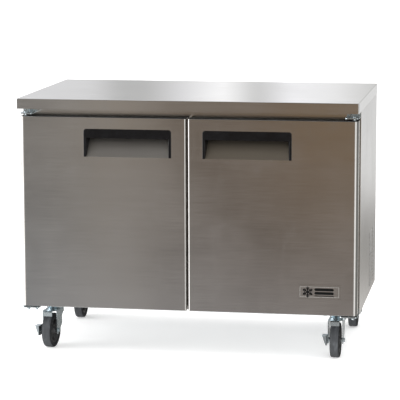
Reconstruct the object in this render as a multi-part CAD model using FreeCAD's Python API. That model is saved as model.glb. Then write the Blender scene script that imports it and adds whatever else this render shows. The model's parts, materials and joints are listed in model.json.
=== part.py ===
import FreeCAD, Part
import math
import os

# Two-door undercounter refrigerator on swivel casters.
# Millimetres. X to the right, Y to the back, Z up. The origin is on the floor,
# under the middle of the footprint.

# ---------------------------------------------------------------- driving sizes
width = 1224.0
depth = 756.0
height = 930.0
half_width = width / 2
front = -depth / 2
rear = depth / 2

# Worktop: a folded tray turned down over the cabinet, backed with foam on a sheet.
top_sheet = 1.5
top_bend = 3.0
apron_height = 37.0
apron_bottom = height - apron_height
apron_hem = 12.0
backer_gap = 0.5

# Cabinet shell.
sheet = 1.2
panel_face = half_width - 1.0
panel_inside = panel_face - sheet
cabinet_bottom = 164.0
floor_top = cabinet_bottom + sheet
frame_sheet = 2.0
frame_front = -283.0
frame_back = frame_front + frame_sheet
cabinet_rear = 370.0
rear_inside = cabinet_rear - sheet

# Machine bay across the back of the cabinet, under the storage space.
bay_front = 95.0
bay_ceiling = 414.0

# Storage space, lined with thin sheet; the floor steps up over the machine bay.
liner_sheet = 1.0
store_half = 572.0
store_floor = 207.0
store_ceiling = 834.0
store_rear = 328.0
hump_front = 55.0
hump_top = 454.0
mullion_half = 38.0
mullion_depth = 40.0

# Doors. Each is described on the right-hand side and mirrored for the left.
door_inner_edge = 3.5
door_outer_edge = 608.0
door_bottom = 171.0
door_top = 863.5
door_face = -348.0
door_back = -293.0
door_skin = 0.8
door_outer_bend = 14.0
door_inner_bend = 6.0
door_lip_bend = 2.0
door_return = 16.0
gasket_inset = 18.0
gasket_width = 14.0
gasket_tip = frame_front - 0.3
liner_inset = 10.0
liner_back = door_back + liner_sheet
dish_inset = 45.0
dish_back = liner_back + 6.0

# Hinges: pins fixed in the brackets, plastic bushes in the doors.
hinge_x = 592.0
hinge_y = -320.0
hinge_pin = 4.0
running_gap = 0.05
bush_radius = 9.0
bush_length = 22.0
pin_depth = 18.0

# Recessed pull handle: a black moulding round a sloping metal scoop.
handle_x = 215.0
handle_half = 159.0
handle_bottom = 722.0
handle_top = 822.0
handle_proud = 3.0
handle_corner = 10.0
handle_leg = 10.0
grip_bottom = 790.0
grip_thickness = 4.0
pocket_depth = 34.0
pocket_draft = 8.0
pocket_back_floor = 796.0
pocket_wall = 2.0

# Shelves.
shelf_level = 520.0
shelf_rim = 3.0
shelf_wire = 1.75
shelf_pitch = 25.0
shelf_front = -236.0
shelf_rear = 314.0
shelf_inner = 9.0
shelf_outer = 562.0

# Casters. The wheels trail toward the front.
caster_front_x = 524.0
caster_rear_x = 538.0
caster_front_y = -215.0
caster_rear_y = 314.0
left_caster_turn = -5.0
caster_trail = -36.0
wheel_radius = 63.5
wheel_half = 16.5
tyre_round = 5.0
core_radius = 46.0
hub_half = 18.0
hub_clearance = 0.5
axle_radius = 4.0
pedal_room = 3.5
fork_sheet = 3.0
fork_inside = 25.0
fork_outside = fork_inside + fork_sheet
fork_front = -49.0
fork_rear = 29.0
fork_leg_rear = 8.0
crown_top = 140.0
raceway_bottom = 140.5
plate_bottom = 157.0
rail_bottom = 160.0
kingpin_radius = 6.0
rail_ends = (462.0, 598.0)

# Air vents.
vent_columns = (105.0, 235.0)
vent_length = 92.0
vent_height = 5.0
vent_pitch = 13.0
vent_rows = 16
vent_bottom = 192.0

X_AXIS = FreeCAD.Vector(1, 0, 0)
Y_AXIS = FreeCAD.Vector(0, 1, 0)
Z_AXIS = FreeCAD.Vector(0, 0, 1)
ORIGIN = FreeCAD.Vector(0, 0, 0)


# ------------------------------------------------------------------ small tools
def point(x, y, z):
    return FreeCAD.Vector(x, y, z)


def box(x_ends, y_ends, z_ends):
    """A block between two values along each axis, in either order."""
    spans = (x_ends, y_ends, z_ends)
    low = [min(ends) for ends in spans]
    size = [abs(ends[1] - ends[0]) for ends in spans]
    return Part.makeBox(size[0], size[1], size[2], point(*low))


def rod(radius, start, direction, length):
    return Part.makeCylinder(radius, length, point(*start), direction)


def sleeve(outer, inner, start, direction, length):
    return rod(outer, start, direction, length).cut(rod(inner, start, direction, length))


def prism(corners, travel):
    """A closed polygon pushed along a vector."""
    points = [point(*corner) for corner in corners]
    return Part.Face(Part.makePolygon(points + points[:1])).extrude(travel)


def turned_profile(pairs, centre, axis):
    """A solid of revolution from (radius, height) pairs about an axis through centre."""
    outline = [point(radius, 0, level) for radius, level in pairs]
    body = Part.Face(Part.makePolygon(outline + outline[:1])).revolve(ORIGIN, Z_AXIS, 360)
    body.Placement = FreeCAD.Placement(point(*centre), FreeCAD.Rotation(Z_AXIS, axis))
    return body


def join(shapes):
    shapes = list(shapes)
    return shapes[0].multiFuse(shapes[1:]).removeSplitter()


def group(shapes):
    """Separate solids kept side by side."""
    solids = [solid for shape in shapes for solid in shape.Solids]
    return Part.makeCompound(solids)


def moved(shape, x, y, z):
    return shape.translated(point(x, y, z))


def rotated(shape, centre, axis, degrees):
    turned = shape.copy()
    turned.rotate(point(*centre), axis, degrees)
    return turned


def flipped(shape, side):
    """The right-hand shape itself, or its mirror image for the left side."""
    if side > 0:
        return shape
    return shape.mirror(ORIGIN, X_AXIS)


def edges_within(shape, x=None, y=None, z=None):
    """Edges whose bounding box lies inside the given spans."""
    chosen = []
    for edge in shape.Edges:
        bounds = edge.BoundBox
        ends = ((bounds.XMin, bounds.XMax, x), (bounds.YMin, bounds.YMax, y), (bounds.ZMin, bounds.ZMax, z))
        inside = [span is None or (low > span[0] - 0.01 and high < span[1] + 0.01)
                  for low, high, span in ends]
        if all(inside):
            chosen.append(edge)
    return chosen


def hollow_frame(x_ends, y_ends, z_ends, wall):
    """A flat rectangular ring, open along Y."""
    outer = box(x_ends, y_ends, z_ends)
    inner = box((x_ends[0] + wall, x_ends[1] - wall), (y_ends[0] - 1, y_ends[1] + 1),
                (z_ends[0] + wall, z_ends[1] - wall))
    return outer.cut(inner)


def bent_rod(route, radius, bend):
    """A round rod along straight runs joined by tangent arcs."""
    corners = [point(*place) for place in route]
    edges = []
    start = corners[0]
    for before, corner, after in zip(corners, corners[1:], corners[2:]):
        arriving = (corner - before).normalize()
        leaving = (after - corner).normalize()
        half_turn = arriving.getAngle(leaving) / 2
        setback = bend * math.tan(half_turn)
        arc_start = corner - arriving * setback
        arc_end = corner + leaving * setback
        inward = (leaving - arriving).normalize()
        arc_middle = corner + inward * (bend / math.cos(half_turn) - bend)
        edges.append(Part.LineSegment(start, arc_start).toShape())
        edges.append(Part.Arc(arc_start, arc_middle, arc_end).toShape())
        start = arc_end
    edges.append(Part.LineSegment(start, corners[-1]).toShape())
    path = Part.Wire(edges)
    section = Part.Wire(Part.makeCircle(radius, corners[0], corners[1] - corners[0]))
    return path.makePipeShell([section], True, True)


def hexagon(across_flats, start, axis, thickness):
    """A hexagonal head or nut standing on start."""
    radius = across_flats / math.sqrt(3)
    corners = []
    for step in range(6):
        angle = math.radians(60 * step)
        corners.append((radius * math.cos(angle), radius * math.sin(angle), 0))
    body = prism(corners, point(0, 0, thickness))
    body.Placement = FreeCAD.Placement(point(*start), FreeCAD.Rotation(Z_AXIS, axis))
    return body


def save(name, shape):
    shape.exportStep("parts/" + name + ".step")


# --------------------------------------------------------------- cabinet shell
def make_worktop():
    """Folded tray, open below, with a narrow hem turned in round its apron."""
    outer = box((-half_width, half_width), (front, rear), (apron_bottom, height))
    bottom_edges = edges_within(outer, z=(apron_bottom, apron_bottom))
    bends = [edge for edge in outer.Edges if not any(edge.isSame(low) for low in bottom_edges)]
    outer = outer.makeFillet(top_bend, bends)
    inside_x = half_width - top_sheet
    hollow = box((-inside_x, inside_x), (front + top_sheet, rear - top_sheet),
                 (apron_bottom + top_sheet, height - top_sheet))
    bends = edges_within(hollow, x=(-inside_x, -inside_x)) + edges_within(hollow, x=(inside_x, inside_x))
    bends = [edge for edge in bends if edge.BoundBox.ZLength > 1]
    hollow = hollow.makeFillet(top_bend - top_sheet, bends)
    mouth_x = half_width - apron_hem
    mouth = box((-mouth_x, mouth_x), (front + apron_hem, rear - apron_hem),
                (apron_bottom - 1, apron_bottom + top_sheet + 1))
    return outer.cut([hollow, mouth])


def worktop_core(z_ends):
    """A slab that fits inside the worktop's hem."""
    half_x = half_width - apron_hem - backer_gap
    reach_y = rear - apron_hem - backer_gap
    return box((-half_x, half_x), (-reach_y, reach_y), z_ends)


def make_worktop_backer():
    """Sheet that closes the tray and rests on the cabinet."""
    return worktop_core((apron_bottom, apron_bottom + sheet))


def vent_places():
    """Lower front corner of every louvre in a side panel, as (y, z)."""
    return [(y, vent_bottom + row * vent_pitch) for y in vent_columns for row in range(vent_rows)]


def make_side_panel(side):
    """Flat side sheet with louvres over the machine bay, their lips turned inward."""
    panel = box((panel_inside, panel_face), (frame_back, cabinet_rear), (cabinet_bottom, apron_bottom))
    slots = []
    lips = []
    lip_reach = 7.0
    lip_sheet = 1.5
    for y, z in vent_places():
        slots.append(box((panel_inside - 1, panel_face + 1), (y, y + vent_length), (z, z + vent_height)))
        tip = panel_inside - lip_reach
        lip = [(panel_inside, y, z + vent_height), (panel_inside, y, z + vent_height + lip_sheet),
               (tip, y, z + lip_sheet), (tip, y, z)]
        lips.append(prism(lip, point(0, vent_length, 0)))
    panel = panel.cut(slots)
    return flipped(join([panel] + lips), side)


def make_rear_panel(line_holes):
    """One folded sheet: upper back, ceiling of the machine bay and its front wall."""
    profile = [(0, cabinet_rear, apron_bottom), (0, rear_inside, apron_bottom),
               (0, rear_inside, bay_ceiling + sheet), (0, bay_front - sheet, bay_ceiling + sheet),
               (0, bay_front - sheet, floor_top), (0, bay_front, floor_top),
               (0, bay_front, bay_ceiling), (0, cabinet_rear, bay_ceiling)]
    panel = moved(prism(profile, point(2 * panel_inside, 0, 0)), -panel_inside, 0, 0)
    return panel.cut(line_holes)


def make_base_panel():
    """Flat bottom sheet with air slots under the condenser."""
    panel = box((-panel_inside, panel_inside), (frame_back, rear_inside), (cabinet_bottom, floor_top))
    x_ends = (395.0, 465.0)
    slot_width = 6.0
    slots = []
    for row in range(9):
        y = 135.0 + 22.0 * row
        slots.append(box(x_ends, (y, y + slot_width), (cabinet_bottom - 1, floor_top + 1)))
    return panel.cut(slots)


def store_block(grow):
    """The storage space as a solid, grown by the liner's thickness where asked."""
    low = store_floor - grow
    high = store_ceiling + grow
    profile = [(0, frame_back, low), (0, frame_back, high), (0, store_rear + grow, high),
               (0, store_rear + grow, hump_top - grow), (0, hump_front + grow, hump_top - grow),
               (0, hump_front + grow, low)]
    half = store_half + grow
    return moved(prism(profile, point(2 * half, 0, 0)), -half, 0, 0)


def make_inner_liner(line_holes):
    """Lining of flat sheets butted along their seams."""
    outside = store_half + liner_sheet
    full = (-store_half, store_half)
    low = store_floor - liner_sheet
    high = store_ceiling + liner_sheet
    hump_back = hump_front + liner_sheet
    hump_low = hump_top - liner_sheet
    back = store_rear + liner_sheet
    sheets = [box(full, (frame_back, hump_back), (low, store_floor)),
              box(full, (hump_front, hump_back), (store_floor, hump_low)),
              box(full, (hump_front, back), (hump_low, hump_top)),
              box(full, (store_rear, back), (hump_top, store_ceiling)),
              box(full, (frame_back, back), (store_ceiling, high))]
    for side in (-1, 1):
        x_ends = (side * store_half, side * outside)
        sheets.append(box(x_ends, (frame_back, hump_back), (low, high)))
        sheets.append(box(x_ends, (hump_back, back), (hump_low, high)))
    return group(sheets).cut(line_holes)


def make_cabinet_foam(lines):
    """Foamed-in-place insulation round the liner, and a slab inside the worktop."""
    profile = [(0, frame_back, floor_top), (0, frame_back, apron_bottom), (0, rear_inside, apron_bottom),
               (0, rear_inside, bay_ceiling + sheet), (0, bay_front - sheet, bay_ceiling + sheet),
               (0, bay_front - sheet, floor_top)]
    walls = moved(prism(profile, point(2 * panel_inside, 0, 0)), -panel_inside, 0, 0)
    lid = worktop_core((apron_bottom + sheet, height - top_sheet))
    return group([walls.cut([store_block(liner_sheet)] + lines), lid])


def make_front_frame(screws):
    """Face frame of flat bars, butted together, that the door gaskets close against."""
    y_ends = (frame_front, frame_back)
    bars = [box((-panel_face, panel_face), y_ends, (cabinet_bottom, store_floor)),
            box((-panel_face, panel_face), y_ends, (store_ceiling, apron_bottom)),
            box((-mullion_half, mullion_half), y_ends, (store_floor, store_ceiling))]
    for side in (-1, 1):
        bars.append(box((side * store_half, side * panel_face), y_ends, (store_floor, store_ceiling)))
    return group(bars).cut(screws)


def make_center_mullion():
    """Hollow post behind the middle of the face frame."""
    back = frame_back + mullion_depth
    half_inside = mullion_half - sheet
    post = box((-mullion_half, mullion_half), (frame_back, back), (store_floor, store_ceiling))
    hollow = box((-half_inside, half_inside), (frame_back + sheet, back - sheet),
                 (store_floor - 1, store_ceiling + 1))
    return post.cut(hollow)


def make_rear_grille(gland_hole):
    """Removable louvred cover over the machine bay."""
    half = 600.0
    low = 168.0
    high = 412.0
    cover = box((-half, half), (rear_inside, cabinet_rear), (low, high))
    slot_length = 150.0
    gland_clearance = 38.0
    through = (rear_inside - 1, cabinet_rear + 1)
    slots = []
    for column in range(5):
        x = -490.0 + 205.0 * column
        for row in range(15):
            z = 186.0 + 14.0 * row
            if column > 0 or z > gland_z + gland_clearance:
                slots.append(box((x, x + slot_length), through, (z, z + vent_height)))
    return cover.cut(slots + [gland_hole])


# ---------------------------------------------------------------- cord gland
gland_x = -420.0
gland_z = 212.0
gland_body = 9.0
gland_bore = 4.5
gland_flange = 13.0


def make_gland_hole():
    return rod(gland_body, (gland_x, rear_inside - 1, gland_z), Y_AXIS, 4)


def make_cord_gland():
    """Flanged bush through the rear cover, for the supply lead."""
    body = rod(gland_body, (gland_x, rear_inside - 12, gland_z), Y_AXIS, 12 + sheet)
    nut = hexagon(24, (gland_x, rear_inside - 6, gland_z), Y_AXIS, 6)
    flange = rod(gland_flange, (gland_x, cabinet_rear, gland_z), Y_AXIS, 3)
    flange = flange.makeFillet(1, edges_within(flange, y=(cabinet_rear + 3, cabinet_rear + 3)))
    snout = turned_profile([(0, 3), (8, 3), (6.5, 7.5), (0, 7.5)], (gland_x, cabinet_rear, gland_z), Y_AXIS)
    bore = rod(gland_bore, (gland_x, rear_inside - 13, gland_z), Y_AXIS, 30)
    return join([body, nut, flange, snout]).cut(bore)


# --------------------------------------------------------------------- shelves
pilaster_width = 18.0
pilaster_sheet = 2.5
pilaster_low = 232.0
pilaster_high = 812.0
pilaster_front_y = -210.0
pilaster_rear_y = 170.0
centre_rear_high = 660.0
clip_length = 12.0
clip_height = 22.0
clip_sheet = 2.0


def make_shelf_pilasters():
    """Slotted strips on the side walls, the mullion and the rear wall."""
    strips = []
    half = pilaster_width / 2
    for side in (-1, 1):
        for y, low in ((pilaster_front_y, pilaster_low), (pilaster_rear_y, hump_top + 6)):
            strip = box((side * store_half, side * (store_half - pilaster_sheet)), (y - half, y + half),
                        (low, pilaster_high))
            slots = [box((side * store_half, side * (store_half - 5)), (y - 3, y + 3), (z, z + 8))
                     for z in range(int(low) + 20, int(pilaster_high) - 20, 26)]
            strips.append(strip.cut(slots))
    back_of_post = frame_back + mullion_depth
    for y, away, low, high in ((back_of_post, 1, pilaster_low, pilaster_high),
                               (store_rear, -1, hump_top + 6, centre_rear_high)):
        strip = box((-half, half), (y, y + away * pilaster_sheet), (low, high))
        slots = [box((-3, 3), (y, y + away * 5), (z, z + 8))
                 for z in range(int(low) + 20, int(high) - 20, 26)]
        strips.append(strip.cut(slots))
    return group(strips)


def make_shelf_clips():
    """Small bent hooks, one under each corner of each shelf."""
    top = shelf_level - shelf_rim
    clips = []
    for side in (-1, 1):
        wall = store_half - pilaster_sheet
        for y in (pilaster_front_y, pilaster_rear_y):
            back = box((side * wall, side * (wall - clip_sheet)), (y - 7, y + 7), (top - clip_height, top))
            ledge = box((side * wall, side * (wall - clip_length)), (y - 7, y + 7), (top - clip_sheet, top))
            clips.append(join([back, ledge]))
        post_face = frame_back + mullion_depth + pilaster_sheet
        for y, away in ((post_face, 1), (store_rear - pilaster_sheet, -1)):
            near = side * 1.0
            far = side * (shelf_inner + 6)
            back = box((near, far), (y, y + away * clip_sheet), (top - clip_height, top))
            ledge = box((near, far), (y, y + away * clip_length), (top - clip_sheet, top))
            clips.append(join([back, ledge]))
    return group(clips)


def make_shelf(side):
    """Coated wire shelf: a bent rim, cross bars and close wires."""
    left = shelf_inner
    right = shelf_outer
    bend = 14.0
    corners = [((left + right) / 2, shelf_front, shelf_level), (right, shelf_front, shelf_level),
               (right, shelf_rear, shelf_level), (left, shelf_rear, shelf_level),
               (left, shelf_front, shelf_level), ((left + right) / 2, shelf_front, shelf_level)]
    rim = bent_rod(corners, shelf_rim, bend)
    wires = []
    cross_bar = 2.5
    wire_level = shelf_level + shelf_rim - shelf_wire
    count = int((right - left - 2 * bend) / shelf_pitch)
    first = (left + right - (count - 1) * shelf_pitch) / 2
    for index in range(count):
        x = first + index * shelf_pitch
        wires.append(rod(shelf_wire, (x, shelf_front, wire_level), Y_AXIS, shelf_rear - shelf_front))
    for fraction in (0.25, 0.5, 0.75):
        y = shelf_front + fraction * (shelf_rear - shelf_front)
        wires.append(rod(cross_bar, (left, y, shelf_level - shelf_rim + cross_bar), X_AXIS, right - left))
    return flipped(join([rim] + wires), side)


# --------------------------------------------------------------- refrigeration
def finned_coil(length, fin_depth, fin_height, pitch, tube_columns, tube_rows, tube_radius):
    """Fins stacked along X with serpentine tubes; centred on Y and Z, starting at X = 0."""
    fin_sheet = 0.5
    row_gap = fin_height / tube_rows
    column_gap = fin_depth / tube_columns
    rows = [(row + 0.5) * row_gap - fin_height / 2 for row in range(tube_rows)]
    columns = [(column + 0.5) * column_gap - fin_depth / 2 for column in range(tube_columns)]
    fin = box((0, fin_sheet), (-fin_depth / 2, fin_depth / 2), (-fin_height / 2, fin_height / 2))
    holes = [rod(tube_radius, (-1, y, z), X_AXIS, 3) for y in columns for z in rows]
    fin = fin.cut(holes)
    stub = 8.0
    solids = [moved(fin, stub + index * pitch, 0, 0) for index in range(int((length - 2 * stub) / pitch))]
    for y in columns:
        edges = []
        for index, z in enumerate(rows):
            ends = (0, length) if index % 2 == 0 else (length, 0)
            edges.append(Part.LineSegment(point(ends[0], y, z), point(ends[1], y, z)).toShape())
            if index < len(rows) - 1:
                swing = row_gap / 2 if ends[1] > 0 else -row_gap / 2
                edges.append(Part.Arc(point(ends[1], y, z), point(ends[1] + swing, y, z + row_gap / 2),
                                      point(ends[1], y, z + row_gap)).toShape())
        path = Part.Wire(edges)
        section = Part.Wire(Part.makeCircle(tube_radius, point(0, y, rows[0]), X_AXIS))
        solids.append(path.makePipeShell([section], True, True))
    return group(solids)


def make_fan(centre, radius, hub_radius, hub_length, shaft_radius, blade_count):
    """Axial fan turning about Y: pitched blades on a bored hub."""
    hub = rod(hub_radius, (0, -hub_length / 2, 0), Y_AXIS, hub_length)
    blade_pitch = 28.0
    blade_sheet = 1.6
    blade_reach = 10.0
    spread = math.radians(24)
    inner = hub_radius - 2
    blades = []
    outline = []
    for reach, angle in ((inner, -spread), (inner, spread), (radius, spread * 0.8), (radius, -spread)):
        outline.append((reach * math.sin(angle), -blade_sheet / 2, reach * math.cos(angle)))
    blade = rotated(prism(outline, point(0, blade_sheet, 0)), (0, 0, 0), Z_AXIS, blade_pitch)
    for index in range(blade_count):
        blades.append(rotated(blade, (0, 0, 0), Y_AXIS, 360.0 / blade_count * index))
    sweep = rod(radius, (0, -blade_reach, 0), Y_AXIS, 2 * blade_reach)
    wheel = join([hub] + [item.common(sweep) for item in blades])
    wheel = wheel.cut(rod(shaft_radius + running_gap, (0, -hub_length, 0), Y_AXIS, 2 * hub_length))
    return moved(wheel, *centre)


evaporator_half = 330.0
evaporator_front = 190.0
evaporator_bottom = 690.0
evaporator_fan_z = 762.0
evaporator_fan_y = 204.0
evaporator_fan_radius = 72.0
fan_hub_radius = 18.0
fan_hub_length = 14.0
fan_shaft = 3.0
coil_half = 300.0
coil_y = 292.0
coil_depth = 56.0
coil_height = 112.0


def make_evaporator_cover():
    """Sheet housing under the ceiling at the back, with a guarded fan opening."""
    cover = box((-evaporator_half, evaporator_half), (evaporator_front, store_rear),
                (evaporator_bottom, store_ceiling))
    inside = evaporator_half - sheet
    hollow = box((-inside, inside), (evaporator_front + sheet, store_rear + 1),
                 (evaporator_bottom + sheet, store_ceiling + 1))
    opening = rod(evaporator_fan_radius + 6, (0, evaporator_front - 1, evaporator_fan_z), Y_AXIS, 4)
    slots = []
    through = (evaporator_front - 1, evaporator_front + 2)
    for side in (-1, 1):
        for row in range(6):
            z = 712.0 + 17.0 * row
            slots.append(box((side * 120, side * 290), through, (z, z + 7)))
    for column in range(20):
        x = -290.0 + 30.0 * column
        slots.append(box((x, x + 12), (230, 310), (evaporator_bottom - 1, evaporator_bottom + 2)))
    cover = cover.cut([hollow, opening] + slots)
    bar = 3.0
    guard_front = (0, evaporator_front, evaporator_fan_z)
    guard = [sleeve(radius, radius - bar, guard_front, Y_AXIS, sheet) for radius in (22, 40, 58)]
    reach = evaporator_fan_radius + 7
    for angle in (0, 60, 120):
        spoke = box((-reach, reach), (evaporator_front, evaporator_front + sheet),
                    (evaporator_fan_z - bar / 2, evaporator_fan_z + bar / 2))
        guard.append(rotated(spoke, guard_front, Y_AXIS, angle))
    return join([cover] + guard)


def make_evaporator_coil():
    coil = finned_coil(2 * coil_half, coil_depth, coil_height, 8.0, 2, 4, 4.0)
    return moved(coil, -coil_half, coil_y, evaporator_fan_z)


condenser_x = 530.0
condenser_depth = 56.0
condenser_height = 208.0
condenser_z = 280.0
condenser_front_y = 135.0
condenser_length = 205.0
condenser_fan_x = 478.0
condenser_fan_y = 237.0
condenser_fan_radius = 90.0
shroud_x = 460.0
tube_radius = 4.0


def make_condenser_coil():
    """Fins and tubes facing the side louvres; the tubes run front to back."""
    coil = finned_coil(condenser_length, condenser_depth, condenser_height, 5.0, 2, 8, tube_radius)
    coil = rotated(coil, (0, 0, 0), Z_AXIS, 90)
    return moved(coil, condenser_x, condenser_front_y, condenser_z)


def make_condenser_shroud():
    """Box between the condenser and its fan."""
    low = condenser_z - condenser_height / 2 - 2
    high = condenser_z + condenser_height / 2 + 2
    edge = condenser_x - condenser_depth / 2
    y_ends = (condenser_front_y - 4, condenser_front_y + condenser_length + 4)
    shell = box((shroud_x, edge), y_ends, (low, high))
    hollow = box((shroud_x + sheet, edge + 1), (y_ends[0] + sheet, y_ends[1] - sheet),
                 (low + sheet, high - sheet))
    opening = rod(condenser_fan_radius + 4, (shroud_x - 1, condenser_fan_y, condenser_z), X_AXIS, 4)
    stand = box((shroud_x, edge), y_ends, (floor_top, low))
    stand_hollow = box((shroud_x - 1, edge + 1), (y_ends[0] + 12, y_ends[1] - 12), (floor_top - 1, low + 1))
    return join([shell.cut([hollow, opening]), stand.cut(stand_hollow)])


def make_fan_motors():
    """Two small motors, each with a shaft and a strap to its housing."""
    radius = 22.0
    length = 36.0
    rear_of_hub = evaporator_fan_y + fan_hub_length / 2
    face = rear_of_hub + 2
    motor = rod(radius, (0, face, evaporator_fan_z), Y_AXIS, length)
    shaft = rod(fan_shaft, (0, face - 14, evaporator_fan_z), Y_AXIS, 14)
    strap = box((-8, 8), (face + length, face + length + 2), (evaporator_bottom + sheet, store_ceiling))
    evaporator_motor = join([motor, shaft, strap])
    face = condenser_fan_x - fan_hub_length / 2 - 2
    motor = rod(radius, (face - length, condenser_fan_y, condenser_z), X_AXIS, length)
    shaft = rod(fan_shaft, (face, condenser_fan_y, condenser_z), X_AXIS, 14)
    low = condenser_z - condenser_height / 2 - 2
    high = condenser_z + condenser_height / 2 + 2
    strap_x = face - length
    strap = box((strap_x, strap_x - 2), (condenser_fan_y - 8, condenser_fan_y + 8), (low, high))
    arms = [box((strap_x - 2, shroud_x), (condenser_fan_y - 8, condenser_fan_y + 8), (z, z + 2))
            for z in (low, high - 2)]
    return group([evaporator_motor, join([motor, shaft, strap] + arms)])


def make_evaporator_fan():
    return make_fan((0, evaporator_fan_y, evaporator_fan_z), evaporator_fan_radius, fan_hub_radius,
                    fan_hub_length, fan_shaft, 5)


def make_condenser_fan():
    fan = make_fan((0, 0, 0), condenser_fan_radius, fan_hub_radius, fan_hub_length, fan_shaft, 5)
    fan = rotated(fan, (0, 0, 0), Z_AXIS, -90)
    return moved(fan, condenser_fan_x, condenser_fan_y, condenser_z)


compressor_x = -330.0
compressor_y = 232.0
compressor_radius = 80.0
compressor_low = 190.0
compressor_high = 348.0
stub_radius = 5.0


def rounded_can(radius, low, high, low_round, high_round):
    """An upright cylinder on the compressor's axis with rounded ends."""
    can = rod(radius, (compressor_x, compressor_y, low), Z_AXIS, high - low)
    can = can.makeFillet(low_round, edges_within(can, z=(low, low)))
    return can.makeFillet(high_round, edges_within(can, z=(high, high)))


def make_compressor():
    """Hermetic shell on a footed plate, with its pump block, terminal box and stubs."""
    radius = compressor_radius
    low = compressor_low
    high = compressor_high
    seam = (low + high) / 2
    wall = 3.0
    outside = rounded_can(radius, low, high, 26, 40)
    seam_band = rod(radius + 4, (compressor_x, compressor_y, seam - 4), Z_AXIS, 8)
    inside = rounded_can(radius - wall, low + wall, high - wall, 26 - wall, 40 - wall)
    stubs = []
    for angle in (0, 180):
        direction = point(math.cos(math.radians(angle)), math.sin(math.radians(angle)), 0)
        stubs.append(rod(stub_radius, (compressor_x, compressor_y, 305), direction, radius + 15))
    wall_y = compressor_y + radius
    terminal = box((compressor_x - 30, compressor_x + 30), (wall_y - 12, wall_y + 28), (225, 300))
    terminal = terminal.makeFillet(4, terminal.Edges)
    shell = join([outside, seam_band, terminal] + stubs).cut(inside)
    pump = rod(46, (compressor_x, compressor_y, low + wall), Z_AXIS, high - low - 24)
    plate_low = low - 3
    plate = box((compressor_x - 105, compressor_x + 105), (compressor_y - 75, compressor_y + 75),
                (plate_low, low))
    plate = plate.makeFillet(14, [edge for edge in plate.Edges if edge.BoundBox.ZLength > 1])
    feet = []
    for x in (compressor_x - 88, compressor_x + 88):
        for y in (compressor_y - 60, compressor_y + 60):
            feet.append(rod(11, (x, y, floor_top), Z_AXIS, plate_low - floor_top))
    return group([shell, pump, plate] + feet)


drier_y = 335.0
drier_z = 250.0
drier_left = 40.0
drier_right = 160.0
drier_radius = 12.0


def make_filter_drier():
    length = drier_right - drier_left
    profile = [(0, 0), (3.5, 0), (3.5, 12), (drier_radius, 24), (drier_radius, length - 24),
               (3.5, length - 12), (3.5, length), (0, length)]
    return turned_profile(profile, (drier_left, drier_y, drier_z), X_AXIS)


riser_y = 348.0
capillary_x = -10.0
capillary_radius = 2.0
capillary_level = 730.0
suction_x = -70.0
suction_level = 790.0
thin_tube = 3.0


def make_refrigerant_lines():
    """Discharge, liquid, capillary and suction tubes in bent copper."""
    stub_level = 305.0
    left_stub = compressor_x - compressor_radius - 15
    right_stub = compressor_x + compressor_radius + 15
    row_gap = condenser_height / 8
    column = condenser_depth / 4
    top_row = condenser_z + condenser_height / 2 - row_gap / 2
    bottom_row = condenser_z - condenser_height / 2 + row_gap / 2
    near_rear = 358.0
    over_top = 398.0
    swing = left_stub - 30
    liner_wall = store_rear - 4
    discharge = [(left_stub, compressor_y, stub_level), (swing, compressor_y, stub_level),
                 (swing, compressor_y, over_top), (swing, near_rear, over_top),
                 (condenser_x - column, near_rear, over_top), (condenser_x - column, near_rear, top_row)]
    liquid = [(condenser_x + column, near_rear, bottom_row), (300, near_rear, bottom_row),
              (220, drier_y, drier_z), (drier_right, drier_y, drier_z)]
    capillary = [(drier_left, drier_y, drier_z), (capillary_x, drier_y, drier_z),
                 (capillary_x, riser_y, 300), (capillary_x, riser_y, capillary_level),
                 (capillary_x, liner_wall, capillary_level)]
    suction = [(right_stub, compressor_y, stub_level), (suction_x, compressor_y, stub_level),
               (suction_x, riser_y, 340), (suction_x, riser_y, suction_level),
               (suction_x, liner_wall, suction_level)]
    return [bent_rod(discharge, thin_tube, 12.0), bent_rod(liquid, thin_tube, 12.0),
            bent_rod(capillary, capillary_radius, 8.0), bent_rod(suction, stub_radius, 18.0)]


def make_line_holes():
    """Clearance through the bay ceiling and the liner for the two risers."""
    holes = []
    for x, radius, level in ((capillary_x, capillary_radius, capillary_level),
                             (suction_x, stub_radius, suction_level)):
        holes.append(rod(radius + 1.5, (x, riser_y, bay_ceiling - 2), Z_AXIS, 5))
        holes.append(rod(radius + 1.5, (x, store_rear - 1, level), Y_AXIS, 3))
    return holes


def make_drain_pan():
    """Evaporating pan on the floor of the machine bay."""
    pan = box((-170, 130), (120, 300), (floor_top, floor_top + 36))
    pan = pan.makeFillet(10, [edge for edge in pan.Edges if edge.BoundBox.ZLength > 1])
    hollow = box((-168, 128), (122, 298), (floor_top + 2, floor_top + 40))
    hollow = hollow.makeFillet(8, [edge for edge in hollow.Edges if edge.BoundBox.ZLength > 1])
    return pan.cut(hollow)


thermostat_x = 400.0
thermostat_z = 770.0
thermostat_front = 288.0


def make_thermostat_box():
    body = box((thermostat_x - 35, thermostat_x + 35), (thermostat_front, store_rear),
               (thermostat_z - 45, thermostat_z + 45))
    body = body.makeFillet(5, [edge for edge in body.Edges if edge.BoundBox.YLength > 1])
    spindle = rod(3.0, (thermostat_x, thermostat_front - 12, thermostat_z), Y_AXIS, 12)
    return join([body, spindle])


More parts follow.
